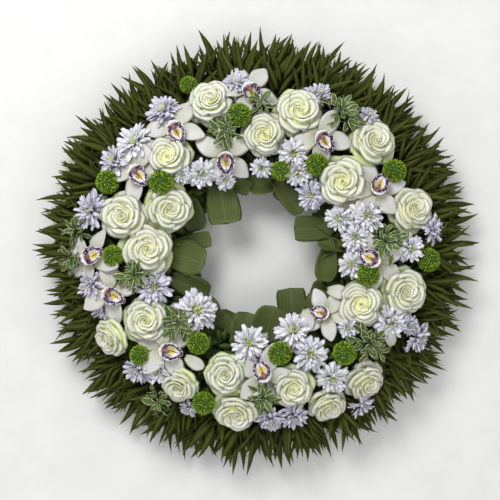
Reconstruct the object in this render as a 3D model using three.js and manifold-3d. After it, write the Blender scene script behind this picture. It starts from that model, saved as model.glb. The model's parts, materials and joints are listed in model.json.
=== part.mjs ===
// A funeral wreath lying flat: a moulded tray, a ring of wet foam, two collars of leaves, and cut
// roses, cymbidium orchids, santini and chrysanthemum sprays pushed into the foam by their stems.
// Millimetres, +Z up. The origin is on the floor at the centre of the ring.
import * as THREE from 'three';
import { mergeVertices } from 'three/addons/utils/BufferGeometryUtils.js';
import Module from 'manifold-3d';

const wasm = await Module();
wasm.setup();

// Driving dimensions.
const GAP = 0.3; // clearance between separate pieces
const RING_RADIUS = 212; // centre line of the foam and the tray
const RING_SIDES = 36;

const TRAY_HALF_WIDTH = 46;
const TRAY_HEIGHT = 28;
const TRAY_WALL = 3;

const FOAM_HALF_WIDTH = 41;
const FOAM_SPRING_Z = 30; // where the straight sides turn into the dome; stems aim at this level
const FOAM_DOME = 38;
const FOAM_DOME_STEPS = 6;

const BLOOM_HALF_WIDTH = 125; // the flower heads lie on this larger dome over the foam
const BLOOM_DOME = 85;
const STEM_END = 20; // stems stop this far from the foam's centre line
const STEM_SIDES = 5;
const SPIN_STEP = 137.5; // degrees from one head to the next, so that no two look aligned

const LEAF_THICKNESS = 2;
const BLADE_BASE = 0.14; // half the width of a blade's base, as a share of its full width
const COLLAR_Z = TRAY_HEIGHT + GAP;
const COLLAR_BAND = { width: 13, height: 9 }; // the band of twigs that the leaves grow from
const OUTER_BAND_INNER = RING_RADIUS + FOAM_HALF_WIDTH + 1;
const INNER_BAND_OUTER = RING_RADIUS - FOAM_HALF_WIDTH - 1;
const LEAF_ROOT = 4; // how far a leaf's base reaches into the band
const QUARTERS = 4; // the outer collar comes in four equal garlands
const QUARTER_START = 9.6; // bearing of a joint between two garlands, clear of every leaf
const OUTER_LEAF_LAYERS = [
  { perQuarter: 7, reach: 378, width: 40, lift: -7, level: 1.8, turn: 0 },
  { perQuarter: 7, reach: 394, width: 38, lift: 3, level: 4.9, turn: 6.4 },
  { perQuarter: 4, reach: 360, width: 40, lift: 17, level: 8, turn: 3 },
];
const RAGGED_STEP = 8; // neighbouring pointed leaves end this much nearer or farther

// Where the flowers stand: bearing in degrees counterclockwise from +X, distance from the centre of
// the ring, width of the head, and for some how much further it leans outward.
const ROSES = [
  { bearing: 133, radius: 226, width: 79 },
  { bearing: 107, radius: 271, width: 85 },
  { bearing: 154, radius: 170, width: 86 },
  { bearing: 165.5, radius: 239, width: 86 },
  { bearing: 179, radius: 190, width: 90 },
  { bearing: 212, radius: 226, width: 82 },
  { bearing: 211, radius: 295, width: 75, lean: 18 },
  { bearing: 256, radius: 221, width: 80 },
  { bearing: 240.5, radius: 270, width: 72, lean: 12 },
  { bearing: 263, radius: 282, width: 82, lean: 10 },
  { bearing: 86, radius: 204, width: 78 },
  { bearing: 73, radius: 253, width: 87 },
  { bearing: 43, radius: 279, width: 85 },
  { bearing: 39, radius: 194, width: 92 },
  { bearing: 15, radius: 283, width: 80 },
  { bearing: 333, radius: 205, width: 84 },
  { bearing: 345, radius: 267, width: 84 },
  { bearing: 285, radius: 246, width: 74 },
  { bearing: 295, radius: 299, width: 68, lean: 10 },
  { bearing: 310, radius: 298, width: 74, lean: 10 },
];

// For an orchid, lip is the compass bearing that its lip points to, seen from above.
const ORCHIDS = [
  { bearing: 123.5, radius: 256, lip: -62 },
  { bearing: 146.4, radius: 250, lip: -50 },
  { bearing: 108, radius: 176, lip: -85 },
  { bearing: 92.7, radius: 278, lip: -60 },
  { bearing: 60.8, radius: 226, lip: -50 },
  { bearing: 26.8, radius: 233, lip: 60 },
  { bearing: 355, radius: 208, lip: 150 },
  { bearing: 317.8, radius: 166, lip: 165 },
  { bearing: 274, radius: 218, lip: 115 },
  { bearing: 227, radius: 232, lip: -15 },
  { bearing: 195.6, radius: 263, lip: -30 },
  { bearing: 182.5, radius: 287, lip: 25 },
];

// How far the smaller heads ride above the dome that the roses are centred on.
const RISE = { orchid: 4, santini: 8, chrysanthemum: 6 };

const SANTINI = [
  { bearing: 112, radius: 309, width: 30 },
  { bearing: 97, radius: 237, width: 40 },
  { bearing: 155, radius: 282, width: 40 },
  { bearing: 144, radius: 203, width: 42 },
  { bearing: 182, radius: 247, width: 36 },
  { bearing: 238, radius: 190, width: 37 },
  { bearing: 222, radius: 269, width: 35 },
  { bearing: 251, radius: 277, width: 38 },
  { bearing: 72.5, radius: 150, width: 34 },
  { bearing: 55, radius: 184, width: 39 },
  { bearing: 30, radius: 275, width: 40 },
  { bearing: 357, radius: 298, width: 39 },
  { bearing: 348, radius: 199, width: 39 },
  { bearing: 283, radius: 184, width: 40 },
  { bearing: 311, radius: 234, width: 40 },
];

// Each spray is one branched stem with a head at the end of each branch.
const SPRAYS = [
  [
    { bearing: 123.5, radius: 290, width: 75 },
    { bearing: 138, radius: 281, width: 80 },
    { bearing: 148, radius: 290, width: 70 },
  ],
  [
    { bearing: 125, radius: 166, width: 60 },
    { bearing: 113.5, radius: 138, width: 45 },
    { bearing: 134, radius: 185, width: 40 },
  ],
  [
    { bearing: 69, radius: 183, width: 62 },
    { bearing: 62, radius: 156, width: 60 },
    { bearing: 86, radius: 147, width: 45 },
  ],
  [
    { bearing: 45, radius: 140, width: 65 },
    { bearing: 21.5, radius: 157, width: 60 },
    { bearing: 18, radius: 203, width: 72 },
    { bearing: 8, radius: 176, width: 60 },
  ],
  [
    { bearing: 295, radius: 155, width: 78 },
    { bearing: 298, radius: 203, width: 70 },
    { bearing: 301, radius: 256, width: 66 },
  ],
  [
    { bearing: 332, radius: 262, width: 72 },
    { bearing: 332, radius: 314, width: 62 },
    { bearing: 320, radius: 209, width: 45 },
  ],
];

// Broad blunt leaves that line the hole: bearing of the blade and how near its end comes to the centre.
const INNER_LEAVES = [
  { bearing: 7, end: 108, width: 58 },
  { bearing: 27, end: 79, width: 62 },
  { bearing: 53, end: 92, width: 58 },
  { bearing: 68, end: 106, width: 52 },
  { bearing: 86, end: 105, width: 60 },
  { bearing: 103, end: 104, width: 46 },
  { bearing: 126, end: 80, width: 66 },
  { bearing: 145, end: 102, width: 58 },
  { bearing: 167, end: 83, width: 62 },
  { bearing: 187, end: 100, width: 56 },
  { bearing: 206, end: 106, width: 62 },
  { bearing: 227, end: 112, width: 52 },
  { bearing: 245, end: 114, width: 58 },
  { bearing: 262, end: 106, width: 56 },
  { bearing: 279, end: 104, width: 58 },
  { bearing: 292, end: 104, width: 50 },
  { bearing: 307, end: 86, width: 66 },
  { bearing: 326, end: 108, width: 56 },
  { bearing: 345, end: 108, width: 58 },
];
const INNER_LEAF_LIFTS = [4, 10, 7]; // degrees that neighbouring blades rise toward the centre

const material = (color, roughness) => new THREE.MeshStandardMaterial({ color, roughness, metalness: 0 });
const TRAY_PLASTIC = material(0x1f3324, 0.55);
const WET_FOAM = material(0x2f5a3a, 0.95);
const OLIVE_LEAF = material(0x3a4a22, 0.5);
const BROAD_LEAF = material(0x587340, 0.45);
const ROSE_PETAL = material(0xf1efdc, 0.6);
const ORCHID_PETAL = material(0xe6e1e6, 0.55);
const SANTINI_FLORET = material(0x6f9e2e, 0.7);
const CHRYSANTHEMUM_RAY = material(0xe9e2ee, 0.65);

// Solids.

/** Turns a closed geometry into a manifold solid. */
function toSolid(geometry) {
  const bare = geometry.clone();
  bare.deleteAttribute('normal');
  bare.deleteAttribute('uv');
  const merged = mergeVertices(bare, 1e-4);
  const vertProperties = new Float32Array(merged.attributes.position.array);
  const triVerts = new Uint32Array(merged.index.array);
  return new wasm.Manifold(new wasm.Mesh({ numProp: 3, vertProperties, triVerts }));
}

/** Turns a manifold solid back into a geometry, keeping only its largest connected body. */
function toGeometry(solid) {
  const { vertProperties, triVerts } = solid.getMesh();
  const indices = largestBody(vertProperties, triVerts);
  const geometry = new THREE.BufferGeometry();
  geometry.setAttribute('position', new THREE.BufferAttribute(vertProperties, 3));
  geometry.setIndex(indices);
  return mergeVertices(geometry, 1e-4);
}

/** Picks the triangles of the connected body that has the most volume. */
function largestBody(positions, triangles) {
  const parent = Array.from({ length: positions.length / 3 }, (_, vertex) => vertex);
  const find = (vertex) => {
    let root = vertex;
    while (parent[root] !== root) {
      root = parent[root];
    }
    parent[vertex] = root;
    return root;
  };
  for (let start = 0; start < triangles.length; start += 3) {
    const root = find(triangles[start]);
    parent[find(triangles[start + 1])] = root;
    parent[find(triangles[start + 2])] = root;
  }
  const bodies = new Map();
  const corner = (vertex) => new THREE.Vector3().fromArray(positions, vertex * 3);
  for (let start = 0; start < triangles.length; start += 3) {
    const triangle = Array.from(triangles.slice(start, start + 3));
    const root = find(triangle[0]);
    const body = bodies.get(root) ?? { volume: 0, indices: [] };
    const [a, b, c] = triangle.map(corner);
    body.volume += a.dot(b.cross(c)) / 6;
    body.indices.push(...triangle);
    bodies.set(root, body);
  }
  const ordered = [...bodies.values()].sort((one, other) => other.volume - one.volume);
  return ordered[0].indices;
}

const joined = (solids) => solids.reduce((whole, solid) => whole.add(solid));

/** Revolves a profile of [radius, height] points about +Z. */
function lathe(profile, sides) {
  const points = profile.map(([radius, height]) => new THREE.Vector2(radius, height));
  return new THREE.LatheGeometry(points, sides).rotateX(Math.PI / 2);
}

/** A round bar between two points. */
function bar(from, to, radius, sides = STEM_SIDES) {
  const along = to.clone().sub(from);
  const geometry = new THREE.CylinderGeometry(radius, radius, along.length(), sides);
  geometry.translate(0, along.length() / 2, 0);
  const turn = new THREE.Quaternion().setFromUnitVectors(new THREE.Vector3(0, 1, 0), along.normalize());
  return geometry.applyQuaternion(turn).translate(from.x, from.y, from.z);
}

/** A flat leaf or petal along +X, widest at the given share of its length, with a blunt or pointed end. */
function blade(length, width, thickness, widest, endWidth = 0) {
  const outline = new THREE.Shape();
  outline.moveTo(0, -width * BLADE_BASE);
  outline.lineTo(length * widest, -width / 2);
  outline.lineTo(length, -endWidth / 2);
  if (endWidth > 0) {
    outline.lineTo(length, endWidth / 2);
  }
  outline.lineTo(length * widest, width / 2);
  outline.lineTo(0, width * BLADE_BASE);
  const geometry = new THREE.ExtrudeGeometry(outline, { depth: thickness, bevelEnabled: false });
  return geometry.translate(0, 0, -thickness / 2);
}

// Placing heads on the dome of flowers.

const radians = THREE.MathUtils.degToRad;

/** Point in the upright plane through the ring's axis at a bearing. */
function meridianPoint(bearing, radius, height) {
  const angle = radians(bearing);
  return new THREE.Vector3(radius * Math.cos(angle), radius * Math.sin(angle), height);
}

/** Centre of a head, and the frame whose +Z is the way the head faces. */
function headFrame({ bearing, radius, lean = 0, rise = 0 }, spin) {
  const across = (radius - RING_RADIUS) / BLOOM_HALF_WIDTH;
  const up = Math.sqrt(1 - across * across);
  const tilt = Math.atan2(across / BLOOM_HALF_WIDTH, up / BLOOM_DOME) + radians(lean);
  const centre = meridianPoint(bearing, radius, FOAM_SPRING_Z + BLOOM_DOME * up);
  const turn = new THREE.Quaternion().setFromEuler(new THREE.Euler(0, tilt, radians(bearing), 'ZYX'));
  turn.multiply(new THREE.Quaternion().setFromAxisAngle(new THREE.Vector3(0, 0, 1), spin));
  const facing = new THREE.Vector3(0, 0, 1).applyQuaternion(turn);
  centre.addScaledVector(facing, rise);
  return new THREE.Matrix4().compose(centre, turn, new THREE.Vector3(1, 1, 1));
}

/** A straight stem from a neck point to just short of the foam's centre line. */
function stem(neck, bearing, radius, grow) {
  const aim = meridianPoint(bearing, RING_RADIUS, FOAM_SPRING_Z);
  const inward = neck.clone().sub(aim).normalize();
  const end = aim.addScaledVector(inward, STEM_END - grow);
  return toSolid(bar(neck, end, radius + grow));
}

/** Revolves a profile into a head whose petal rims are lobed, each rim turned against the one below. */
function lobedLathe(profile, sides, depth) {
  const geometry = lathe(profile, sides);
  const points = geometry.attributes.position;
  for (let index = 0; index < points.count; index += 1) {
    const x = points.getX(index);
    const y = points.getY(index);
    const turn = (Math.PI * (index % profile.length)) / 2;
    const swell = 1 + depth * Math.cos((sides / 2) * Math.atan2(y, x) + turn);
    points.setXY(index, x * swell, y * swell);
  }
  return geometry;
}

// Heads, each about its own frame; grow makes the fatter copy that cuts its neighbours.

function roseHead(width, grow) {
  const profile = [
    [0, -0.4 * width - grow],
    [0.13 * width + grow, -0.37 * width - grow],
    [0.37 * width + grow, -0.14 * width - grow],
    [0.47 * width + grow, 0.12 * width + 2 * grow],
    [0.4 * width, 0.09 * width + 2 * grow],
    [0.33 * width, 0.22 * width + 2 * grow],
    [0.26 * width, 0.13 * width + 2 * grow],
    [0.15 * width, 0.28 * width + 2 * grow],
    [0, 0.22 * width + 2 * grow],
  ];
  return lobedLathe(profile, 10, 0.05);
}

function santiniHead(width, grow) {
  const profile = [
    [0, -0.32 * width - grow],
    [0.28 * width + grow, -0.28 * width - grow],
    [0.5 * width + grow, 0],
    [0.4 * width + grow, 0.24 * width + grow],
    [0, 0.4 * width + grow],
  ];
  return lathe(profile, 9);
}

function chrysanthemumHead(width, grow) {
  const profile = [
    [0, -0.16 * width - grow],
    [0.12 * width + grow, -0.14 * width - grow],
    [0.46 * width + 2 * grow, 0.03 * width],
    [0.14 * width + grow, 0.08 * width + grow],
    [0, 0.12 * width + grow],
  ];
  return lobedLathe(profile, 10, 0.09);
}

const ORCHID = {
  tepal: { length: 48, width: 28, tip: 11, bearings: [90, 24, 156, -48, -132] },
  lip: { drop: 13, floor: 12, floorZ: 4, rim: 16, rimZ: 14, stretch: 1.3 },
  hub: { radius: 9, low: -5, high: 4 },
  column: { length: 20, radius: 3.4 },
};

/** A cymbidium bloom facing +Z with its lip toward -Y. */
function orchidHead(grow) {
  const { tepal, lip, hub, column } = ORCHID;
  const parts = tepal.bearings.map((bearing, index) => {
    const thickness = LEAF_THICKNESS + 2 * grow;
    const petal = blade(tepal.length + grow, tepal.width + 2 * grow, thickness, 0.6, tepal.tip + 2 * grow);
    petal.rotateY(-radians(index % 2 ? 12 : 6)).translate(hub.radius * 0.7, 0, 0);
    return toSolid(petal.rotateZ(radians(bearing)));
  });
  const cup = [
    [0, -grow],
    [lip.floor + grow, lip.floorZ - grow],
    [lip.rim + grow, lip.rimZ + grow],
    [lip.floor - grow, lip.rimZ + grow],
    [0, lip.floorZ + grow],
  ];
  parts.push(toSolid(lathe(cup, 7).scale(1, lip.stretch, 1).translate(0, -lip.drop, 0)));
  const above = (height) => new THREE.Vector3(0, 2, height);
  parts.push(toSolid(bar(above(hub.low - grow), above(hub.high + grow), hub.radius + grow, 10)));
  parts.push(toSolid(bar(above(0), above(column.length + grow), column.radius + grow)));
  return joined(parts);
}

/** Rose, orchid or santini: its head on its stem, whole or grown for cutting. */
function bloom(kind, place, frame, grow) {
  const moved = (geometry) => toSolid(geometry.applyMatrix4(frame));
  const neck = new THREE.Vector3(0, 0, -KINDS[kind].neck * (place.width ?? 1)).applyMatrix4(frame);
  const head = {
    rose: () => moved(roseHead(place.width, grow)),
    santini: () => moved(santiniHead(place.width, grow)),
    orchid: () => moved(toGeometry(orchidHead(grow))),
  };
  return head[kind]().add(stem(neck, place.bearing, KINDS[kind].stem, grow));
}

const KINDS = {
  rose: { stem: 3, neck: 0.34 },
  santini: { stem: 1.8, neck: 0.26 },
  orchid: { stem: 2.6, neck: 4 },
};
const SPRAY_STEM = 2.4;
const SPRAY_BRANCH = 1.6;
const SPRAY_FORK = 66; // distance of the fork from the foam's centre line

/** A branched stem with its heads, about the mean place of the heads. */
function spray(places, grow) {
  const mean = (key) => places.reduce((sum, place) => sum + place[key], 0) / places.length;
  const bearing = mean('bearing');
  const middle = headFrame({ bearing, radius: mean('radius') }, 0);
  const aim = meridianPoint(bearing, RING_RADIUS, FOAM_SPRING_Z);
  const outward = new THREE.Vector3().setFromMatrixPosition(middle).sub(aim).normalize();
  const fork = aim.clone().addScaledVector(outward, SPRAY_FORK);
  const parts = [stem(fork.clone().addScaledVector(outward, SPRAY_STEM), bearing, SPRAY_STEM, grow)];
  places.forEach((place, index) => {
    const frame = headFrame({ ...place, rise: RISE.chrysanthemum }, radians(SPIN_STEP * index));
    const neck = new THREE.Vector3(0, 0, -0.1 * place.width).applyMatrix4(frame);
    const start = fork.clone().addScaledVector(neck.clone().sub(fork).normalize(), -SPRAY_BRANCH);
    parts.push(toSolid(bar(start, neck, SPRAY_BRANCH + grow)));
    parts.push(toSolid(chrysanthemumHead(place.width, grow).applyMatrix4(frame)));
  });
  return joined(parts);
}

// The pieces that hold the flowers.

function trayGeometry() {
  const inner = RING_RADIUS - TRAY_HALF_WIDTH;
  const outer = RING_RADIUS + TRAY_HALF_WIDTH;
  const profile = [
    [inner, 0],
    [outer, 0],
    [outer, TRAY_HEIGHT],
    [outer - TRAY_WALL, TRAY_HEIGHT],
    [outer - TRAY_WALL, TRAY_WALL],
    [inner + TRAY_WALL, TRAY_WALL],
    [inner + TRAY_WALL, TRAY_HEIGHT],
    [inner, TRAY_HEIGHT],
    [inner, 0],
  ];
  return lathe(profile, RING_SIDES);
}

function foamGeometry() {
  const floor = TRAY_WALL + GAP;
  const profile = [[RING_RADIUS - FOAM_HALF_WIDTH, floor], [RING_RADIUS + FOAM_HALF_WIDTH, floor]];
  for (let step = 0; step <= FOAM_DOME_STEPS; step += 1) {
    const angle = (Math.PI * step) / FOAM_DOME_STEPS;
    const radius = RING_RADIUS + FOAM_HALF_WIDTH * Math.cos(angle);
    profile.push([radius, FOAM_SPRING_Z + FOAM_DOME * Math.sin(angle)]);
  }
  profile.push(profile[0]);
  return lathe(profile, RING_SIDES);
}

/** A stretch of the flat band that holds one collar's leaves. */
function collarBand(inner, start, sweep) {
  const outer = inner + COLLAR_BAND.width;
  const [from, to] = [radians(start), radians(start + sweep)];
  const outline = new THREE.Shape();
  outline.absarc(0, 0, outer, from, to, false);
  outline.absarc(0, 0, inner, to, from, true);
  const curveSegments = Math.round((RING_SIDES * sweep) / 360);
  const options = { depth: COLLAR_BAND.height, bevelEnabled: false, curveSegments };
  return toSolid(new THREE.ExtrudeGeometry(outline, options).translate(0, 0, COLLAR_Z));
}

/** A quarter of the outer collar: pointed leaves in layers, joined by their band. */
function outerGarland() {
  const jointAngle = THREE.MathUtils.radToDeg(GAP / OUTER_BAND_INNER);
  const parts = [collarBand(OUTER_BAND_INNER, QUARTER_START + jointAngle, 90 - 2 * jointAngle)];
  const root = OUTER_BAND_INNER + COLLAR_BAND.width - LEAF_ROOT;
  OUTER_LEAF_LAYERS.forEach(({ perQuarter, reach, width, lift, level, turn }) => {
    const spacing = 90 / perQuarter;
    const first = Math.ceil((QUARTER_START - turn) / spacing);
    for (let index = first; index < first + perQuarter; index += 1) {
      const length = reach - root - ((index % perQuarter) % 3) * RAGGED_STEP;
      const leaf = blade(length, width, LEAF_THICKNESS, 0.4);
      leaf.rotateY(-radians(lift)).translate(root, 0, COLLAR_Z + level);
      parts.push(toSolid(leaf.rotateZ(radians(turn + spacing * index))));
    }
  });
  return joined(parts);
}

/** Broad leaves that point into the hole, joined by the ring of their bases. */
function innerCollar() {
  const inner = INNER_BAND_OUTER - COLLAR_BAND.width;
  const top = COLLAR_Z + COLLAR_BAND.height;
  const corners = [[inner, COLLAR_Z], [INNER_BAND_OUTER, COLLAR_Z], [INNER_BAND_OUTER, top], [inner, top]];
  const parts = [toSolid(lathe([...corners, corners[0]], RING_SIDES))];
  const root = inner + LEAF_ROOT;
  INNER_LEAVES.forEach(({ bearing, end, width }, index) => {
    const lift = radians(INNER_LEAF_LIFTS[index % INNER_LEAF_LIFTS.length]);
    const leaf = blade(root - end, width, LEAF_THICKNESS, 0.6, width * 0.5);
    leaf.rotateY(-lift).rotateZ(Math.PI).translate(root, 0, COLLAR_Z + 4);
    parts.push(toSolid(leaf.rotateZ(radians(bearing))));
  });
  return joined(parts);
}

// Assembly.

const wreath = new THREE.Group();
wreath.name = 'funeral_wreath';

/** Adds a named mesh; the geometry comes in wreath coordinates and is held about its own frame. */
function addMesh(name, geometry, paint, frame = new THREE.Matrix4()) {
  const mesh = new THREE.Mesh(geometry.applyMatrix4(frame.clone().invert()), paint);
  mesh.name = name;
  mesh.applyMatrix4(frame);
  wreath.add(mesh);
}

const numbered = (name, index) => `${name}_${String(index + 1).padStart(2, '0')}`;
let keepOut = null;

/** Cuts a flower clear of all earlier ones, adds its mesh, and keeps its grown copy for later cuts. */
function addFlower(name, solid, grown, paint, frame) {
  const clear = keepOut ? solid.subtract(keepOut) : solid;
  addMesh(name, toGeometry(clear), paint, frame);
  keepOut = keepOut ? keepOut.add(grown) : grown;
}

ROSES.forEach((place, index) => {
  const frame = headFrame(place, radians(SPIN_STEP * index));
  const whole = bloom('rose', place, frame, 0);
  addFlower(numbered('rose', index), whole, bloom('rose', place, frame, GAP), ROSE_PETAL, frame);
});

ORCHIDS.forEach((place, index) => {
  const frame = headFrame({ ...place, rise: RISE.orchid }, radians(place.lip + 90 - place.bearing));
  const whole = bloom('orchid', place, frame, 0);
  addFlower(numbered('orchid', index), whole, bloom('orchid', place, frame, GAP), ORCHID_PETAL, frame);
});

SANTINI.forEach((place, index) => {
  const frame = headFrame({ ...place, rise: RISE.santini }, radians(SPIN_STEP * index));
  const whole = bloom('santini', place, frame, 0);
  addFlower(numbered('santini', index), whole, bloom('santini', place, frame, GAP), SANTINI_FLORET, frame);
});

SPRAYS.forEach((places, index) => {
  const frame = headFrame(places[0], 0);
  addFlower(numbered('chrysanthemum_spray', index), spray(places, 0), spray(places, GAP), CHRYSANTHEMUM_RAY, frame);
});

addMesh('tray', trayGeometry(), TRAY_PLASTIC);
addMesh('foam_ring', toGeometry(toSolid(foamGeometry()).subtract(keepOut)), WET_FOAM);
for (let quarter = 0; quarter < QUARTERS; quarter += 1) {
  const turn = new THREE.Matrix4().makeRotationZ((2 * Math.PI * quarter) / QUARTERS);
  const garland = toGeometry(outerGarland()).applyMatrix4(turn);
  addMesh(numbered('outer_leaf_garland', quarter), garland, OLIVE_LEAF, turn);
}
addMesh('inner_leaf_collar', toGeometry(innerCollar()), BROAD_LEAF);

export default wreath;
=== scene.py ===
import json
import logging
import math
import random
from dataclasses import dataclass, field, fields, replace
from enum import Enum
from functools import cache
from typing import ClassVar, Iterable, Protocol, Sequence

import bpy
import numpy as np
from mathutils import Euler, Matrix, Vector

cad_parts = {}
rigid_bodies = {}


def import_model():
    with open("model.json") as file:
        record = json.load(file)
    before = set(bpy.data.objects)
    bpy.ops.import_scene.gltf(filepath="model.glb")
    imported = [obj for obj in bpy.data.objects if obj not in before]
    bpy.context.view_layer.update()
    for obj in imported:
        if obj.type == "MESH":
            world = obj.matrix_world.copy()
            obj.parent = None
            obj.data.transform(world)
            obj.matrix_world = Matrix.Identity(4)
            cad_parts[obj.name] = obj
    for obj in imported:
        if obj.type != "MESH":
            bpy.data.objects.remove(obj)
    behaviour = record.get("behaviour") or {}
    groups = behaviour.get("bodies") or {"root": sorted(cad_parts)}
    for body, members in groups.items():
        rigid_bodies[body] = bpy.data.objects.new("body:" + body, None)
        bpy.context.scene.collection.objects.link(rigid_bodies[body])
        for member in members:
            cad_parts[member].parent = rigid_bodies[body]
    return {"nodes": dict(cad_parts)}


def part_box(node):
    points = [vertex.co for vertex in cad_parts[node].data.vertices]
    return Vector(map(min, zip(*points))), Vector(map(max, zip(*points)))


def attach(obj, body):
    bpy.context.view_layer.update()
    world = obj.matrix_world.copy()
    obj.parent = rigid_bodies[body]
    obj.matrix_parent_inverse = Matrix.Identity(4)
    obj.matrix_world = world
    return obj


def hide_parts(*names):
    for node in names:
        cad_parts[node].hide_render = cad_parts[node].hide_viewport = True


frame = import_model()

LOG = logging.getLogger("wreath")
MM = 0.001
BODY = "root"
TRAY_HALF_WIDTH = 46 * MM
ANY_ANGLE = (0.0, 6.28)
GOLDEN_DEGREES = 137.5
GOLDEN_ANGLE = math.pi * (3 - math.sqrt(5))
Colour = tuple[float, float, float]
Span = tuple[float, float]
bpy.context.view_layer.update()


def polar(reach: float, angle: float, level: float = 0.0) -> Vector:
    """A point from its distance to the axis, its angle in radians and its height."""
    return Vector((reach * math.cos(angle), reach * math.sin(angle), level))


def points_of(mesh: bpy.types.Mesh) -> np.ndarray:
    """Reads a mesh's points.

    Args:
        mesh: The mesh.

    Returns:
        The points, one to a row.
    """
    points = np.empty(len(mesh.vertices) * 3)
    mesh.vertices.foreach_get("co", points)
    return points.reshape(-1, 3)


def ease(value: np.ndarray, start: object = 0.0, end: float = 1.0) -> np.ndarray:
    """A smooth step from 0 at start to 1 at end."""
    share = np.clip((value - start) / (end - start), 0, 1)
    return share * share * (3 - 2 * share)


def stray(rng: random.Random, reach: float) -> float:
    """A random amount up to reach either way."""
    return rng.uniform(-reach, reach)


# The ring that every flower stands on ---------------------------------------------------------------


@dataclass(frozen=True)
class Ring:
    """Centre line of the foam and the larger dome that the flower heads lie on, in metres.

    The dome stops getting steeper at rim, a share of its half width, and a head is looked for within
    span, another such share. The end of a cut stem is cut_end long.
    """

    radius: float
    tray_height: float
    spring: float = 30 * MM
    half_width: float = 125 * MM
    dome: float = 85 * MM
    rim: float = 0.98
    span: float = 0.97
    halvings: int = 40
    cut_end: float = 1.2 * MM

    @classmethod
    def from_frame(cls) -> "Ring":
        """Reads the ring's size from the tray's box.

        Returns:
            The ring, whose centre line lies midway over the tray's channel.
        """
        _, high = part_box("tray")
        return cls(radius=high[0] - TRAY_HALF_WIDTH, tray_height=high[2])

    def seat(self, bearing: float, reach: float, lean: float = 0.0, rise: float = 0.0,
             spin: float = 0.0) -> Matrix:
        """Frame of a flower head on the dome.

        Args:
            bearing: Degrees counterclockwise from +X.
            reach: Distance from the ring's centre, in metres.
            lean: Extra outward tilt in degrees.
            rise: How far the head stands above the dome.
            spin: Turn about the head's own axis, in degrees.

        Returns:
            A matrix whose +Z is the way the head faces.
        """
        across = max(-self.rim, min(self.rim, (reach - self.radius) / self.half_width))
        up = math.sqrt(1 - across * across)
        tilt = math.atan2(across / self.half_width, up / self.dome) + math.radians(lean)
        angle = math.radians(bearing)
        turn = (Matrix.Rotation(angle, 4, "Z") @ Matrix.Rotation(tilt, 4, "Y")
                @ Matrix.Rotation(math.radians(spin), 4, "Z"))
        centre = polar(reach, angle, self.spring + self.dome * up) + turn @ Vector((0, 0, rise))
        return Matrix.Translation(centre) @ turn

    def core(self, bearing: float) -> Vector:
        """Point on the foam's centre line at a bearing in degrees, which the stems aim at."""
        return polar(self.radius, math.radians(bearing), self.spring)

    def foot(self, node: str) -> Vector:
        """Centre of the cut end of a node's stem, its part nearest to the foam's centre line.

        Args:
            node: Name of a flower's CAD node.

        Returns:
            The point, in metres.
        """
        points = points_of(frame["nodes"][node].data)
        radial = np.hypot(points[:, 0], points[:, 1]) - self.radius
        depth = np.hypot(radial, points[:, 2] - self.spring)
        return Vector(points[depth < depth.min() + self.cut_end].mean(axis=0))

    def find_seat(self, node: str, neck: float, lean: float, rise: float, spin: float) -> Matrix:
        """Frame of the head whose stem has a node's foot.

        Args:
            node: Name of the flower's CAD node.
            neck: Distance of the neck below the head's centre.
            lean: Extra outward tilt in degrees.
            rise: How far the head stands above the dome.
            spin: Turn about the head's own axis, in degrees.

        Returns:
            The head's frame.
        """
        foot = self.foot(node)
        bearing = math.degrees(math.atan2(foot.y, foot.x))
        want = math.atan2(foot.z - self.spring, foot.xy.length - self.radius)
        low, high = self.radius - self.span * self.half_width, self.radius + self.span * self.half_width
        for _ in range(self.halvings):
            reach = (low + high) / 2
            point = self.seat(bearing, reach, lean, rise) @ Vector((0, 0, -neck))
            got = math.atan2(point.z - self.spring, point.xy.length - self.radius)
            low, high = (reach, high) if got > want else (low, reach)
        return self.seat(bearing, reach, lean, rise, spin)


RING = Ring.from_frame()


# Node trees -----------------------------------------------------------------------------------------


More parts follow.
